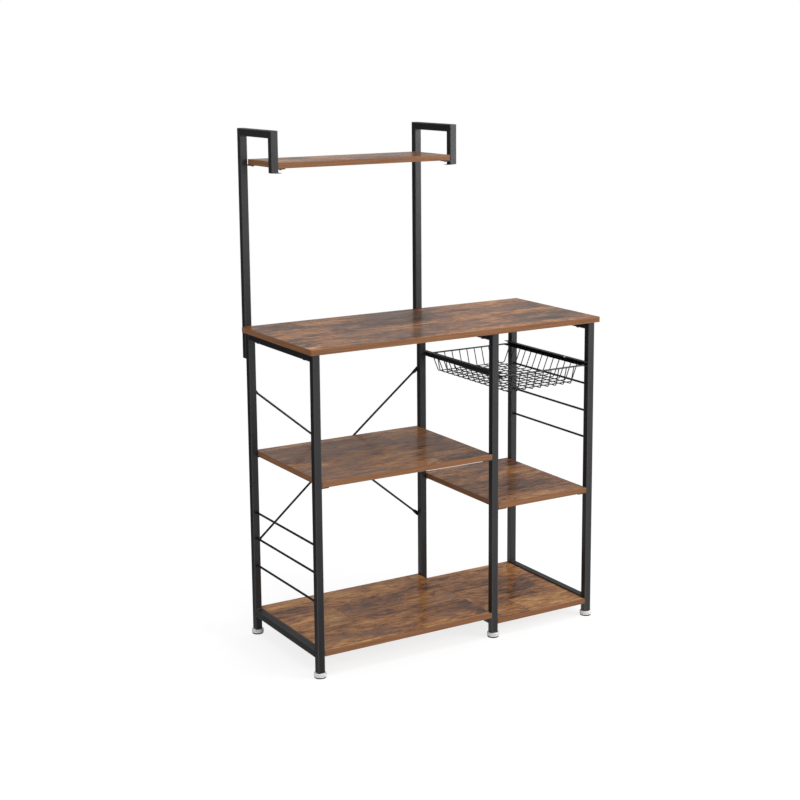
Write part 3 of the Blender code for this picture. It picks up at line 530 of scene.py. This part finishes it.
# %% [markdown]
# ## Plastic and rubber
#
# The feet are pale moulded plastic, which lets a little light into itself, on a dark rubber ring,
# and the clips on the rails are nylon. Moulded plastic has a faint cloudiness and a fine grain
# from the mould; the rubber is duller and coarser.

# %% Plastics and rubber
def moulded(name, low, high, roughness, bump_scale, **surface):
    """Moulded finish: two close colours in soft clouds, and a fine grain from the mould."""
    finish, tree, shader, place = new_finish(name, **surface)
    clouds = noise(tree, place, detail=3.0, scale=70.0)
    grain = noise(tree, place, detail=2.0, scale=bump_scale)
    paint(
        tree,
        shader,
        Base_Color=blend_colour(tree, clouds, low, high),
        Roughness=remap(tree, grain, 0.3, 0.7, roughness - 0.06, roughness + 0.06),
        Normal=relief(tree, grain, 0.15, 0.2 * MM),
    )
    return finish


foot_plastic = moulded(
    "foot_plastic", rgb(228, 228, 226), rgb(242, 242, 241), 0.34, 900.0, Subsurface_Weight=0.05
)
pad_rubber = moulded("pad_rubber", rgb(14, 14, 15), rgb(22, 22, 23), 0.75, 1500.0, Specular_IOR_Level=0.1)
clip_nylon = moulded("clip_nylon", rgb(214, 213, 208), rgb(232, 231, 227), 0.42, 1200.0)
plug_plastic = moulded("plug_plastic", rgb(26, 26, 27), rgb(34, 34, 35), 0.5, 1300.0)
zinc = moulded("zinc_thread", rgb(150, 151, 152), rgb(186, 187, 188), 0.3, 1600.0, Metallic=1.0)
print("plastics:", foot_plastic.name, clip_nylon.name, plug_plastic.name)


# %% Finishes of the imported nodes
SLOT_FINISHES = {
    "frame_steel": tube_coat,
    "rod_steel": rod_coat,
    "basket_wire": rod_coat,
    "black_screw": screw_coat,
    "foot_plastic": foot_plastic,
    "foot_pad": pad_rubber,
    "clip_nylon": clip_nylon,
}
for part in frame["record"]["subparts"]:
    if part["material_slot"] in SLOT_FINISHES:
        give(NODES[part["node"]], SLOT_FINISHES[part["material_slot"]])
print("slots:", ", ".join(SLOT_FINISHES))


# %% [markdown]
# ## Surfaces as grids of points
#
# Wires, rods, screw heads, feet and weld beads are all rows of points: a ring of points goes round
# the thing, and ring follows ring along it. A curve object with a bevel could make a wire too, and
# a lathe modifier a foot, but neither can give a rod that turns flat, a knurled rim or a cross
# recess. With numpy a formula gives every point at once, so one small set of tools makes them all.

# %% Grid tools
SAME_POINT = 0.002 * MM


def ring_faces(rings, sides, loop=False):
    """Faces between rings: point j of ring i has number i * sides + j, and a ring's last point
    joins its first. With loop the last ring joins the first one as well."""
    ring = np.arange(rings if loop else rings - 1)[:, None]
    point = np.arange(sides)[None, :]
    ring, next_ring = ring * sides, (ring + 1) % rings * sides
    next_point = (point + 1) % sides
    corners = (ring + point, ring + next_point, next_ring + next_point, next_ring + point)
    return np.stack(np.broadcast_arrays(*corners), axis=-1).reshape(-1, 4)


def rounded_line(corners, bend, loop=False, steps=8):
    """The line through the corners, each inner corner replaced by an arc with the radius bend.

    With a and b the unit directions back and ahead, and h half the angle between them, the arc's
    middle is m = corner + (a + b) / |a + b| * bend / sin(h). From there the arc starts at
    p = corner + a * bend / tan(h) - m and ends at q = corner + b * bend / tan(h) - m. It swings
    through w = pi - 2 h, and its points are m + (sin((1 - s) w) p + sin(s w) q) / sin(w)."""
    corners = np.asarray(corners, float)
    back = unit(np.roll(corners, 1, axis=0) - corners)
    ahead = unit(np.roll(corners, -1, axis=0) - corners)
    bent = slice(None) if loop else slice(1, -1)
    corner, back, ahead = corners[bent], back[bent], ahead[bent]
    half = np.arccos(np.sum(back * ahead, axis=1, keepdims=True)) / 2
    middle = corner + unit(back + ahead) * bend / np.sin(half)
    first = corner + back * bend / np.tan(half) - middle
    last = corner + ahead * bend / np.tan(half) - middle
    swing = (np.pi - 2 * half)[:, None]
    share = np.linspace(0, 1, steps + 1)[None, :, None]
    arcs = np.sin((1 - share) * swing) * first[:, None] + np.sin(share * swing) * last[:, None]
    line = (middle[:, None] + arcs / np.sin(swing)).reshape(-1, 3)
    return line if loop else np.vstack((corners[:1], line, corners[-1:]))


def round_wire(line, plane, radius, sides=12, loop=False):
    """Rings round a line that lies in a plane, given by its unit normal. Ring i has the points
    line[i] + radius * (cos(t) * out[i] + sin(t) * plane), where out[i] is square to the normal and
    to the line's direction there. The radius may be one number or one for each point of the line.
    An open wire's ends are closed by a ring of radius 0."""
    ahead = unit(np.roll(line, -1, axis=0) - line)
    before = np.roll(ahead, 1, axis=0)
    radius = np.broadcast_to(radius, len(line))
    if not loop:
        ahead[-1], before[0] = ahead[-2], ahead[0]
    out = unit(np.cross(ahead + before, plane))
    if not loop:
        line = np.vstack((line[:1], line, line[-1:]))
        out = np.vstack((out[:1], out, out[-1:]))
        radius = np.concatenate(([0], radius, [0]))
    turn = 2 * np.pi * np.arange(sides)[None, :, None] / sides
    around = np.cos(turn) * out[:, None] + np.sin(turn) * plane
    rings = line[:, None] + radius[:, None, None] * around
    return rings.reshape(-1, 3), ring_faces(len(line), sides, loop)


def turned(radii, heights, sides):
    """Rings round the Z axis: ring i, at its height, has the points (r cos t, r sin t). Each radius
    is one number, or one for each of the ring's points, which lie at t = 2 pi j / sides."""
    turn = 2 * np.pi * np.arange(sides) / sides
    radii = np.stack([np.broadcast_to(radius, sides) for radius in radii])
    heights = np.broadcast_to(np.asarray(heights, float)[:, None], radii.shape)
    rings = np.stack((radii * np.cos(turn), radii * np.sin(turn), heights), axis=-1)
    return rings.reshape(-1, 3), ring_faces(len(radii), sides)


def copies(surface, places):
    """The surface once at each place, moved there from the origin, as one surface."""
    points, faces = surface
    places = np.asarray(places, float)
    moved = points[None] + places[:, None]
    counted = faces[None] + len(points) * np.arange(len(places))[:, None, None]
    return moved.reshape(-1, 3), counted.reshape(-1, 4)


def node_box(node):
    """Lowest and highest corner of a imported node."""
    return tuple(np.array(corner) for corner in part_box(node))


def node_middle(node):
    """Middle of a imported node's box."""
    return sum(node_box(node)) / 2


def make_piece(name, surfaces, slot_name, body="frame", stands_for=(), crease=40, own_finish=None):
    """One object at the origin from several surfaces, each its points and its faces. It is smooth
    but for edges sharper than the crease angle. It has the finish of a material slot, or one of its
    own. It rides on a body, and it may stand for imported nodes, which are then hidden."""
    all_points, all_faces = zip(*surfaces)
    firsts = np.cumsum([0] + [len(points) for points in all_points[:-1]])
    points = np.concatenate(all_points)
    faces = np.concatenate([faces + first for faces, first in zip(all_faces, firsts)])
    mesh = bpy.data.meshes.new(name)
    mesh.from_pydata(points.tolist(), [], faces.tolist())
    shape = bmesh.new()
    shape.from_mesh(mesh)
    bmesh.ops.remove_doubles(shape, verts=shape.verts, dist=SAME_POINT)
    bmesh.ops.recalc_face_normals(shape, faces=shape.faces)
    shape.to_mesh(mesh)
    shape.free()
    mesh.shade_smooth()
    mesh.set_sharp_from_angle(angle=np.radians(crease))
    mesh.materials.append(own_finish or SLOT_FINISHES[slot_name])
    piece = bpy.data.objects.new(name, mesh)
    scene.collection.objects.link(piece)
    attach(piece, body)
    if stands_for:
        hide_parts(*stands_for)
    print(name, "has", len(mesh.polygons), "faces")


# %% [markdown]
# ## The wire basket
#
# A real basket starts as straight wire. A thick rim wire is bent to a rectangle, thin wires are
# bent to shallow troughs, and where two wires cross they are pressed together between electrodes
# until they melt into each other. The cross wires run from side to side, hang from the rim with a
# short level hook, and carry the load. The long wires run under them from front to rear.
#
# Each kind of wire is one line with rounded corners, copied at even distances. The spot welds are
# small flattened balls where the wires cross, and rounder ones where they meet the rim. All sizes
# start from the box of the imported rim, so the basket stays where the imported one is.

# %% Wire basket
RIM_WIRE = 4.5 * MM
RIM_BEND = 8 * MM
BASKET_WIRE = 2.8 * MM
BASKET_DEPTH = 48 * MM
WIRE_DROP = 50.3 * MM
HOOK_LENGTH = 9 * MM
SIDE_SLOPE = 28.5 * MM
FRONT_SLOPE = 14 * MM
REAR_SLOPE = 16.5 * MM
CROSS_WIRES = 13
CROSS_HALF = 163.8 * MM
LONG_WIRES = 9
LONG_HALF = 103.2 * MM
WELD_DEPTH = 0.4 * MM
CROSS_BENDS = np.array((3, 6, 6, 3))[:, None] * MM
LONG_BEND = 6 * MM
FLOOR_WELD = (3.9 * MM, 3.9 * MM, 2.4 * MM)
SIDE_WELD = (2.6 * MM, 4.0 * MM, 3.4 * MM)
END_WELD = (4.0 * MM, 2.8 * MM, 3.4 * MM)

rim_low, rim_high = node_box("basket_rim")
RIM_MIDDLE = (rim_low + rim_high) / 2
RIM_HALF_X, RIM_HALF_Y = ((rim_high - rim_low)[:2] - RIM_WIRE) / 2
REACH = RIM_WIRE / 2 - WELD_DEPTH


def ball(size, rings=6, sides=8):
    """A ball with a size along each axis, round the origin."""
    up_turn = np.linspace(-np.pi / 2, np.pi / 2, rings)
    points, faces = turned(np.cos(up_turn), np.sin(up_turn), sides)
    return points * np.array(size) / 2, faces


rim_corners = SQUARE * (RIM_HALF_X, RIM_HALF_Y, 0)
rim_line = rounded_line(rim_corners, RIM_BEND, loop=True, steps=12) + RIM_MIDDLE
make_piece(
    "basket_rim_wire",
    [round_wire(rim_line, UP, RIM_WIRE / 2, sides=20, loop=True)],
    "basket_wire",
    "basket",
    ["basket_rim"],
)

half_wire = [
    (RIM_HALF_X - REACH, 0, 0),
    (RIM_HALF_X - HOOK_LENGTH, 0, 0),
    (RIM_HALF_X - SIDE_SLOPE, 0, -BASKET_DEPTH),
]
other_half = [(-x, y, z) for x, y, z in reversed(half_wire)]
cross_line = rounded_line(half_wire + other_half, CROSS_BENDS)
cross_places = RIM_MIDDLE + np.linspace(-CROSS_HALF, CROSS_HALF, CROSS_WIRES)[:, None] * BACK

front_foot = np.array((0, -RIM_HALF_Y + FRONT_SLOPE, -WIRE_DROP))
rear_foot = np.array((0, RIM_HALF_Y - REAR_SLOPE, -WIRE_DROP))
front_top = -RIM_HALF_Y * BACK
rear_top = RIM_HALF_Y * BACK
long_corners = [
    front_top + unit(front_foot - front_top) * REACH,
    front_foot,
    rear_foot,
    rear_top + unit(rear_foot - rear_top) * REACH,
]
long_line = rounded_line(long_corners, LONG_BEND)
long_shares = np.linspace(-LONG_HALF, LONG_HALF, LONG_WIRES)[:, None]
long_places = RIM_MIDDLE + long_shares * ACROSS

cross_y, long_x = np.meshgrid(cross_places[:, 1], long_places[:, 0])
contact_z = np.full(cross_y.size, RIM_MIDDLE[2] - (BASKET_DEPTH + WIRE_DROP) / 2)
floor_welds = np.column_stack((long_x.ravel(), cross_y.ravel(), contact_z))
side_welds = np.concatenate([cross_places + side * (RIM_HALF_X - RIM_WIRE / 2) * ACROSS for side in (-1, 1)])
end_welds = np.concatenate([long_places + corner for corner in (long_corners[0], long_corners[-1])])
make_piece(
    "basket_floor_wires",
    [
        copies(round_wire(cross_line, BACK, BASKET_WIRE / 2), cross_places),
        copies(round_wire(long_line, ACROSS, BASKET_WIRE / 2), long_places),
        copies(ball(FLOOR_WELD), floor_welds),
        copies(ball(SIDE_WELD), side_welds),
        copies(ball(END_WELD), end_welds),
    ],
    "basket_wire",
    "basket",
    ["basket_wires"],
)


# %% [markdown]
# ## Side rods and brace rods
#
# The six side rods are plain round bars, welded between the posts, so each ends in a small collar
# of weld metal. A collar swells the rod towards the post like the foot of a glass: the radius grows
# by a share that falls off quickly with the distance from the end.
#
# The two brace rods are round bars whose ends were pressed flat and drilled for a bolt. The metal
# goes somewhere: where the rod gets thinner it gets wider. That is a blend of two sections. The
# round one has the points (cos t, sin t) * 3 mm. The flat one is a smaller circle pulled apart, with
# its halves moved out to both sides. A share that goes from 1 to 0 over the taper blends them.

# %% Side rods
ROD = 6 * MM
COLLAR = 1.3 * MM
COLLAR_FALL = 1.1 * MM
COLLAR_STEPS = np.array((0.0, 0.25, 0.5, 0.8, 1.2, 1.8, 2.6, 3.6, 5.0, 7.0)) * MM


def side_rod(node):
    """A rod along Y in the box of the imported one, with its ends run on to the posts' faces and a
    collar at each: radius = ROD / 2 + COLLAR * exp(-distance / COLLAR_FALL)."""
    low, high = node_box(node)
    first, last = low[1] - GAP, high[1] + GAP
    along = np.concatenate((first + COLLAR_STEPS, last - COLLAR_STEPS[::-1]))
    distance = np.minimum(along - first, last - along)
    middle = (low + high) / 2
    line = middle + (along - middle[1])[:, None] * BACK
    return round_wire(line, UP, ROD / 2 + COLLAR * np.exp(-distance / COLLAR_FALL), sides=24)


for side in ("left", "right"):
    rods = [f"{side}_{level}_side_rod" for level in ("upper", "middle", "lower")]
    make_piece(side + "_side_rods", [side_rod(rod) for rod in rods], "rod_steel", "frame", rods)


# %% Brace rods
FLAT_WIDTH = 11 * MM
FLAT_THICKNESS = 2.2 * MM
FLAT_LENGTH = 19 * MM
TAPER = 14 * MM
BOW = 6.3 * MM
TIP_TURNS = np.radians((6, 14, 24, 36, 50, 66, 90))


def brace_rod(first, last, bow, sides=28):
    """A rod from bolt to bolt. Station by station it has a distance d along the run, a flat share f,
    a width share w and a rearward shift s. The section's point at the angle t is
    w * ((1 - f) * cos(t) * 3 mm + f * (cos(t) * 1.1 mm + 4.4 mm to that side)) across, and
    (1 - f) * sin(t) * 3 mm + f * sin(t) * 1.1 mm rearwards. The tips are half circles."""
    length = np.linalg.norm(last - first)
    run = (last - first) / length
    taper = np.linspace(0, 1, 13)
    smooth = taper * taper * (3 - 2 * taper)
    bowed = np.linspace(0, 1, 31)[1:-1]
    round_start = FLAT_LENGTH + TAPER
    thickness = FLAT_THICKNESS + (ROD - FLAT_THICKNESS) * smooth
    end_distance = np.concatenate((-FLAT_WIDTH / 2 * np.cos(TIP_TURNS), FLAT_LENGTH + TAPER * taper))
    end_flat = np.concatenate((np.ones(len(TIP_TURNS)), 1 - smooth))
    end_width = np.concatenate((np.sin(TIP_TURNS), np.ones(len(taper))))
    end_shift = np.concatenate((np.full(len(TIP_TURNS), FLAT_THICKNESS / 2), thickness / 2))
    middle_distance = round_start + (length - 2 * round_start) * bowed
    distance = np.concatenate((end_distance, middle_distance, length - end_distance[::-1]))
    flat = np.concatenate((end_flat, 0 * bowed, end_flat[::-1]))[:, None]
    width = np.concatenate((end_width, 0 * bowed + 1, end_width[::-1]))[:, None]
    shift = np.concatenate((end_shift, ROD / 2 + bow * np.sin(np.pi * bowed), end_shift[::-1]))
    turn = 2 * np.pi * (np.arange(sides) + 0.5) / sides
    pulled = np.sign(np.cos(turn)) * (FLAT_WIDTH - FLAT_THICKNESS) / 2
    sideways = (1 - flat) * np.cos(turn) * ROD / 2 + flat * (np.cos(turn) * FLAT_THICKNESS / 2 + pulled)
    backwards = (1 - flat) * np.sin(turn) * ROD / 2 + flat * np.sin(turn) * FLAT_THICKNESS / 2
    across = np.cross(BACK, run)
    centre = first + distance[:, None] * run + shift[:, None] * BACK
    centre_rings = np.repeat(centre[:, None], sides, axis=1)
    rings = centre_rings + (sideways * width)[..., None] * across + backwards[..., None] * BACK
    rings = np.concatenate((centre_rings[:1], rings, centre_rings[-1:]))
    return rings.reshape(-1, 3), ring_faces(len(rings), sides)


def bolt_point(bolt):
    """Where a brace's front face meets its bolt's axis."""
    point = node_middle(bolt)
    point[1] = node_box("falling_brace")[0][1]
    return point


for brace, ends, bow in (
    ("falling_brace", ("left_upper", "right_lower"), 0.0),
    ("rising_brace", ("left_lower", "right_upper"), BOW),
):
    first, last = (bolt_point("brace_bolt_" + end) for end in ends)
    make_piece(brace + "_rod", [brace_rod(first, last, bow)], "rod_steel", "frame", [brace], crease=50)


# %% [markdown]
# ## Screws and bolts
#
# Heads are turned shapes, with the tool's recess cut into the turning. For that the radius of a
# ring changes with the angle t. A hexagon with the inscribed radius a has the radius
# a / cos(((t + pi/6) mod pi/3) - pi/6). A cross with arms of half length l and half width h has the
# radius min(l / max(|sin t|, |cos t|), h / min(|sin t|, |cos t|)). Rings go up the outside of the
# head, in over its top, change to the recess's outline, and go down its walls to a closed floor.
#
# The stand is bolted together from behind with hexagon socket heads. Small cross-recessed screws
# hold the boards from below and the basket rails from the side.

# %% Heads
HEAD_SIDES = 48
HEAD_TURN = 2 * np.pi * np.arange(HEAD_SIDES) / HEAD_SIDES


def hexagon(inner_radius):
    """Radius of a hexagon at each of a head's angles."""
    return inner_radius / np.cos((HEAD_TURN + np.pi / 6) % (np.pi / 3) - np.pi / 6)


def cross(half_length, half_width):
    """Radius of a cross at each of a head's angles."""
    sine, cosine = np.abs(np.sin(HEAD_TURN)), np.abs(np.cos(HEAD_TURN))
    long_way = half_length / np.maximum(sine, cosine)
    return np.minimum(long_way, half_width / np.maximum(np.minimum(sine, cosine), 1e-6))


def head(radius, height, dome, recess, depth, shank_radius, shank_length):
    """A screw that points down, its head's seat at height 0: shank, underside, edge, a top that
    rises by the dome's height towards the recess, and the recess's walls and floor."""
    edge = np.linspace(0, np.pi / 2, 6)
    rounding = 0.3 * height
    outside = radius - rounding * (1 - np.cos(edge))
    sides_up = height - dome - rounding + rounding * np.sin(edge)
    mouth = np.max(recess) + 0.15 * (radius - np.max(recess))
    inwards = np.linspace(0, 1, 5)[1:]
    over_top = outside[-1] + (mouth - outside[-1]) * inwards
    rise = sides_up[-1] + dome * (1 - (over_top / outside[-1]) ** 2) / (1 - (mouth / outside[-1]) ** 2)
    radii = [0, shank_radius, shank_radius, radius - 0.2 * MM, radius, *outside, *over_top]
    heights = [-shank_length, -shank_length, 0, 0, 0.2 * MM, *sides_up, *rise]
    top = heights[-1]
    radii += [recess + 0.12 * MM, recess, recess * 0.97, recess * 0.8, 0]
    heights += [top, top - 0.12 * MM, top - depth * 0.85, top - depth, top - depth * 1.1]
    return turned(radii, heights, HEAD_SIDES)


FACING = {
    "down": np.array(((1, 0, 0), (0, -1, 0), (0, 0, -1))),
    "rearwards": np.array(((1, 0, 0), (0, 0, 1), (0, -1, 0))),
    "right": np.array(((0, 0, 1), (0, 1, 0), (-1, 0, 0))),
    "left": np.array(((0, 0, -1), (0, 1, 0), (1, 0, 0))),
}


def facing(surface, way):
    """The surface turned so that its Z axis points down, rearwards, right or left."""
    points, faces = surface
    return points @ FACING[way].T, faces


BOLT_HEAD_HEIGHT = 2.6 * MM
TABLE_HEAD_HEIGHT = 3 * MM
BOLT_HEAD = head(5.5 * MM, BOLT_HEAD_HEIGHT, 0.25 * MM, hexagon(2.0 * MM), 1.6 * MM, 3.0 * MM, 4 * MM)
TABLE_HEAD = head(
    6.0 * MM, TABLE_HEAD_HEIGHT, 0.9 * MM, cross(2.6 * MM, 0.6 * MM), 1.5 * MM, 2.0 * MM, 22 * MM
)
SHELF_HEAD = head(3.9 * MM, 2.3 * MM, 0.8 * MM, cross(1.9 * MM, 0.5 * MM), 1.1 * MM, 1.8 * MM, 2 * MM)
RAIL_HEAD = head(3.6 * MM, 1.8 * MM, 0.6 * MM, cross(1.7 * MM, 0.45 * MM), 0.9 * MM, 1.8 * MM, 1 * MM)
print("a head has", len(BOLT_HEAD[0]), "points")


# %% Bolts and screws in their places
SIDES = ("left", "middle", "right")
ENDS = ("front", "rear")
POST_MIDDLES = {side: node_middle(side + "_front_foot") for side in SIDES}
POST_ROWS = tuple(node_middle(f"left_{end}_foot")[1] for end in ENDS)
BAR_ROWS = tuple(node_middle("tabletop_screw_left_" + end)[1] for end in ENDS)
TOP_ROWS = (15.7 * MM, 179.4 * MM)
RAIL_WALL = 1 * MM

for name in ("hutch_bolt", "brace_bolt"):
    bolts = [f"{name}_{side}_{level}" for side in ("left", "right") for level in ("upper", "lower")]
    places = [node_middle(bolt) for bolt in bolts]
    for place, bolt in zip(places, bolts):
        place[1] = node_box(bolt)[1][1] - BOLT_HEAD_HEIGHT
    make_piece(name + "s", [copies(facing(BOLT_HEAD, "rearwards"), places)], "black_screw", "frame", bolts)

screws = [f"tabletop_screw_{side}_{end}" for side in SIDES for end in ENDS]
places = [node_middle(screw) for screw in screws]
for place, screw in zip(places, screws):
    place[2] = node_box(screw)[0][2] + TABLE_HEAD_HEIGHT
make_piece("tabletop_screws", [copies(facing(TABLE_HEAD, "down"), places)], "black_screw", "frame", screws)

# A tab's screw sits half its reach from the tube. From the board down to a tab's underside is the gap
# and the tab, and for a tab welded under a bottom bar also the depth it is sunk by.
SHORT, LONG = 10 * MM, 14 * MM
TAB, SUNK_TAB = 2.3 * MM, 3.1 * MM
SHELF_TABS = (
    ("left_middle_shelf", (SHORT, LONG), (TAB, TAB), POST_ROWS),
    ("right_middle_shelf", (LONG, LONG), (TAB, TAB), POST_ROWS),
    ("left_bottom_shelf", (SHORT, SHORT), (TAB, SUNK_TAB), BAR_ROWS),
    ("right_bottom_shelf", (SHORT, SHORT), (SUNK_TAB, SUNK_TAB), BAR_ROWS),
    ("top_shelf", (SHORT, SHORT), (TAB, TAB), TOP_ROWS),
)
places = []
for board, reaches, drops, rows in SHELF_TABS:
    low, high = node_box(board)
    for y in rows:
        places.append((low[0] - GAP + reaches[0], y, low[2] - drops[0]))
        places.append((high[0] + GAP - reaches[1], y, low[2] - drops[1]))
make_piece("shelf_screws", [copies(facing(SHELF_HEAD, "down"), places)], "black_screw")

rail_screws = []
for side, way in (("left", "right"), ("right", "left")):
    low, high = node_box(side + "_basket_rail")
    wall = low[0] + RAIL_WALL if side == "left" else high[0] - RAIL_WALL
    places = [(wall, y, (low[2] + high[2]) / 2) for y in POST_ROWS]
    rail_screws.append(copies(facing(RAIL_HEAD, way), places))
make_piece("rail_screws", rail_screws, "black_screw")


# %% [markdown]
# ## Levelling feet
#
# Each foot is a pale knurled wheel moulded round a steel stud, with a dark rubber ring pressed into
# its underside so that it doesn't scratch the floor. It is turned by hand to level the stand, so
# the rim is ribbed for the fingers. The stud goes up into the post, and more of it is seen when the
# foot is screwed out.
#
# The ribs are a wave round the rim: radius = R - depth * share * (1 - cos(48 t)) / 2, where the
# share is 1 in the band between the two smooth edges. The thread is a ridge that climbs as it goes
# round: radius = r - depth * |2 * frac(z / pitch - t / (2 pi)) - 1|.

# %% Feet
DISC = 16.5 * MM
DISC_HEIGHT = 9.7 * MM
RIBS = 48
RIB_DEPTH = 0.9 * MM
STUD = 4 * MM
STUD_LENGTH = 22 * MM
THREAD_PITCH = 1.25 * MM
THREAD_DEPTH = 0.7 * MM
THREAD_LEAD = 1.2 * MM
PAD = 15.5 * MM
PAD_HEIGHT = 3.2 * MM
GROOVE_PITCH = 4.2 * MM
GROOVE_DEPTH = 0.4 * MM


def knurled_disc():
    """The ribbed wheel, its underside at height 0."""
    sides = RIBS * 6
    wave = (1 - np.cos(RIBS * 2 * np.pi * np.arange(sides) / sides)) / 2
    insets = np.array((DISC / MM, 0.7, 0.2, 0, 0, 0, 0, 0.05, 0.3, 0.7, 1.3, 2.0, DISC / MM)) * MM
    heights = np.array((0, 0, 0.3, 0.8, 1.5, 2.3, 7.2, 8.0, 8.7, 9.2, 9.55, 9.7, 9.7)) * MM
    ribbed = np.array((0, 0, 0, 0, 0, 1, 1, 0, 0, 0, 0, 0, 0))
    radii = [DISC - inset - RIB_DEPTH * share * wave for inset, share in zip(insets, ribbed)]
    return turned(radii, heights, sides)


def threaded_stud():
    """The stud, its lower end at height 0."""
    sides = 32
    climb = np.linspace(0, STUD_LENGTH, 150)
    share = climb[:, None] / THREAD_PITCH - np.arange(sides)[None, :] / sides
    ridge = STUD - THREAD_DEPTH * np.abs(2 * (share % 1.0) - 1)
    lead = np.clip((STUD_LENGTH - climb[:, None]) / THREAD_LEAD, 0, 1)
    ridge = np.minimum(ridge, STUD - THREAD_LEAD * (1 - lead))
    return turned([*ridge, 0], [*climb, STUD_LENGTH], sides)


def ringed_pad():
    """The rubber ring, its underside at height 0, with four round grooves below and one outside.
    Below, the height at the radius r is depth * max(0, sin(2 pi r / pitch))^2."""
    out = np.linspace(0, PAD - 0.8 * MM, 48)
    groove = np.maximum(0, np.sin(2 * np.pi * out / GROOVE_PITCH)) ** 2 * GROOVE_DEPTH
    insets = np.array((0.25, 0.05, 0, 0, 0.3, 0.3, 0, 0, 0.2)) * MM
    heights = np.array((0.15, 0.4, 0.8, 1.5, 1.7, 2.0, 2.2, 3.0, 3.2)) * MM
    return turned([*out, *(PAD - insets), 0], [*groove, *heights, PAD_HEIGHT], 96)


disc, stud, pad = knurled_disc(), threaded_stud(), ringed_pad()
for side in SIDES:
    for end in ENDS:
        foot = f"{side}_{end}_foot"
        body = f"{side}_{end}_leveller"
        low, high = node_box(foot)
        x, y = (low + high)[:2] / 2
        make_piece(foot + "_wheel", [copies(disc, [(x, y, low[2])])], "foot_plastic", body, [foot])
        stud_place = (x, y, low[2] + DISC_HEIGHT)
        make_piece(foot + "_stud", [copies(stud, [stud_place])], None, body, own_finish=zinc, crease=60)
        make_piece(foot + "_ring", [copies(pad, [(x, y, 0)])], "foot_pad", body, [foot + "_pad"])


# %% [markdown]
# ## Tube plugs
#
# The open ends of the hutch tubes are closed by black plastic plugs, pressed in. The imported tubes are
# closed there already, so only the thin square lip of each plug is added: a turned shape with four
# sides, set at 45 degrees, whose lower edge is rounded off.

# %% Tube plugs
PLUG_HALF = 9.2 * MM
PLUG_LIP = 0.9 * MM
PLUG_SHOWN = 0.8 * MM
PLUG_ROUND = 0.6 * MM
PLUG_ROUND_HEIGHT = 0.4 * MM
DROP_END = 1288 * MM

out = PLUG_HALF * 2**0.5
lip_heights = [0, 0, PLUG_ROUND_HEIGHT, PLUG_LIP, PLUG_LIP]
points, faces = turned([0, out - PLUG_ROUND, out, out, 0], lip_heights, 4)
half_right = np.array(((1, 1, 0), (-1, 1, 0), (0, 0, 2**0.5))) / 2**0.5
places = []
for side in ("left", "right"):
    low, high = node_box(side + "_hutch_post")
    middle = (low[0] + high[0]) / 2
    places.append((middle, high[1] - TUBE / 2, low[2] - PLUG_SHOWN))
    places.append((middle, low[1] + TUBE / 2, DROP_END - PLUG_SHOWN))
make_piece("hutch_plugs", [copies((points @ half_right, faces), places)], None, own_finish=plug_plastic)


# %% [markdown]
# ## Weld beads
#
# The side frames are welded where a bar meets a post. On the outside the welds are ground flat, so
# that the tubes look like one piece. In the inner corners they are left as they were laid, under
# the coat: a short rounded fillet, with ripples where the welder's hand moved on.
#
# A bead is a row of quarter rings that fill the corner: at the share u of its length its radius is
# leg * (1 + 0.1 cos(2 pi 6 u)) * (1 - (2 u - 1)^6)^(1/2), so it ripples and tapers off at its ends.

# %% Weld beads
BEAD_LENGTH = 15 * MM
BEAD_LEG = 2.4 * MM
RIPPLES = 6
RIPPLE_DEPTH = 0.1


def bead(corner, out, down):
    """A bead along X that fills the corner between two faces, out and down being its two ways."""
    share = np.linspace(0, 1, 49)
    ripple = 1 + RIPPLE_DEPTH * np.cos(2 * np.pi * RIPPLES * share)
    leg = BEAD_LEG * ripple * np.sqrt(1 - (2 * share - 1) ** 6)
    turn = np.linspace(0, np.pi / 2, 7)
    arc = np.cos(turn)[:, None] * out + np.sin(turn)[:, None] * down
    section = np.vstack((0 * UP, arc))
    centre = corner + BEAD_LENGTH * (share - 0.5)[:, None] * ACROSS
    rings = centre[:, None] + leg[:, None, None] * section
    return rings.reshape(-1, 3), ring_faces(len(share), len(section))


beads = []
for side in SIDES:
    x = POST_MIDDLES[side][0]
    for bar, ways in (("top_bar", (-UP,)), ("bottom_bar", (-UP, UP))):
        low, high = node_box(f"{side}_{bar}")
        for post_face, out in ((low[1] - GAP, BACK), (high[1] + GAP, -BACK)):
            for way in ways:
                z = high[2] if way[2] > 0 else high[2] - TUBE
                beads.append(bead(np.array((x, post_face, z)), out, way))
make_piece("weld_beads", beads, "frame_steel")
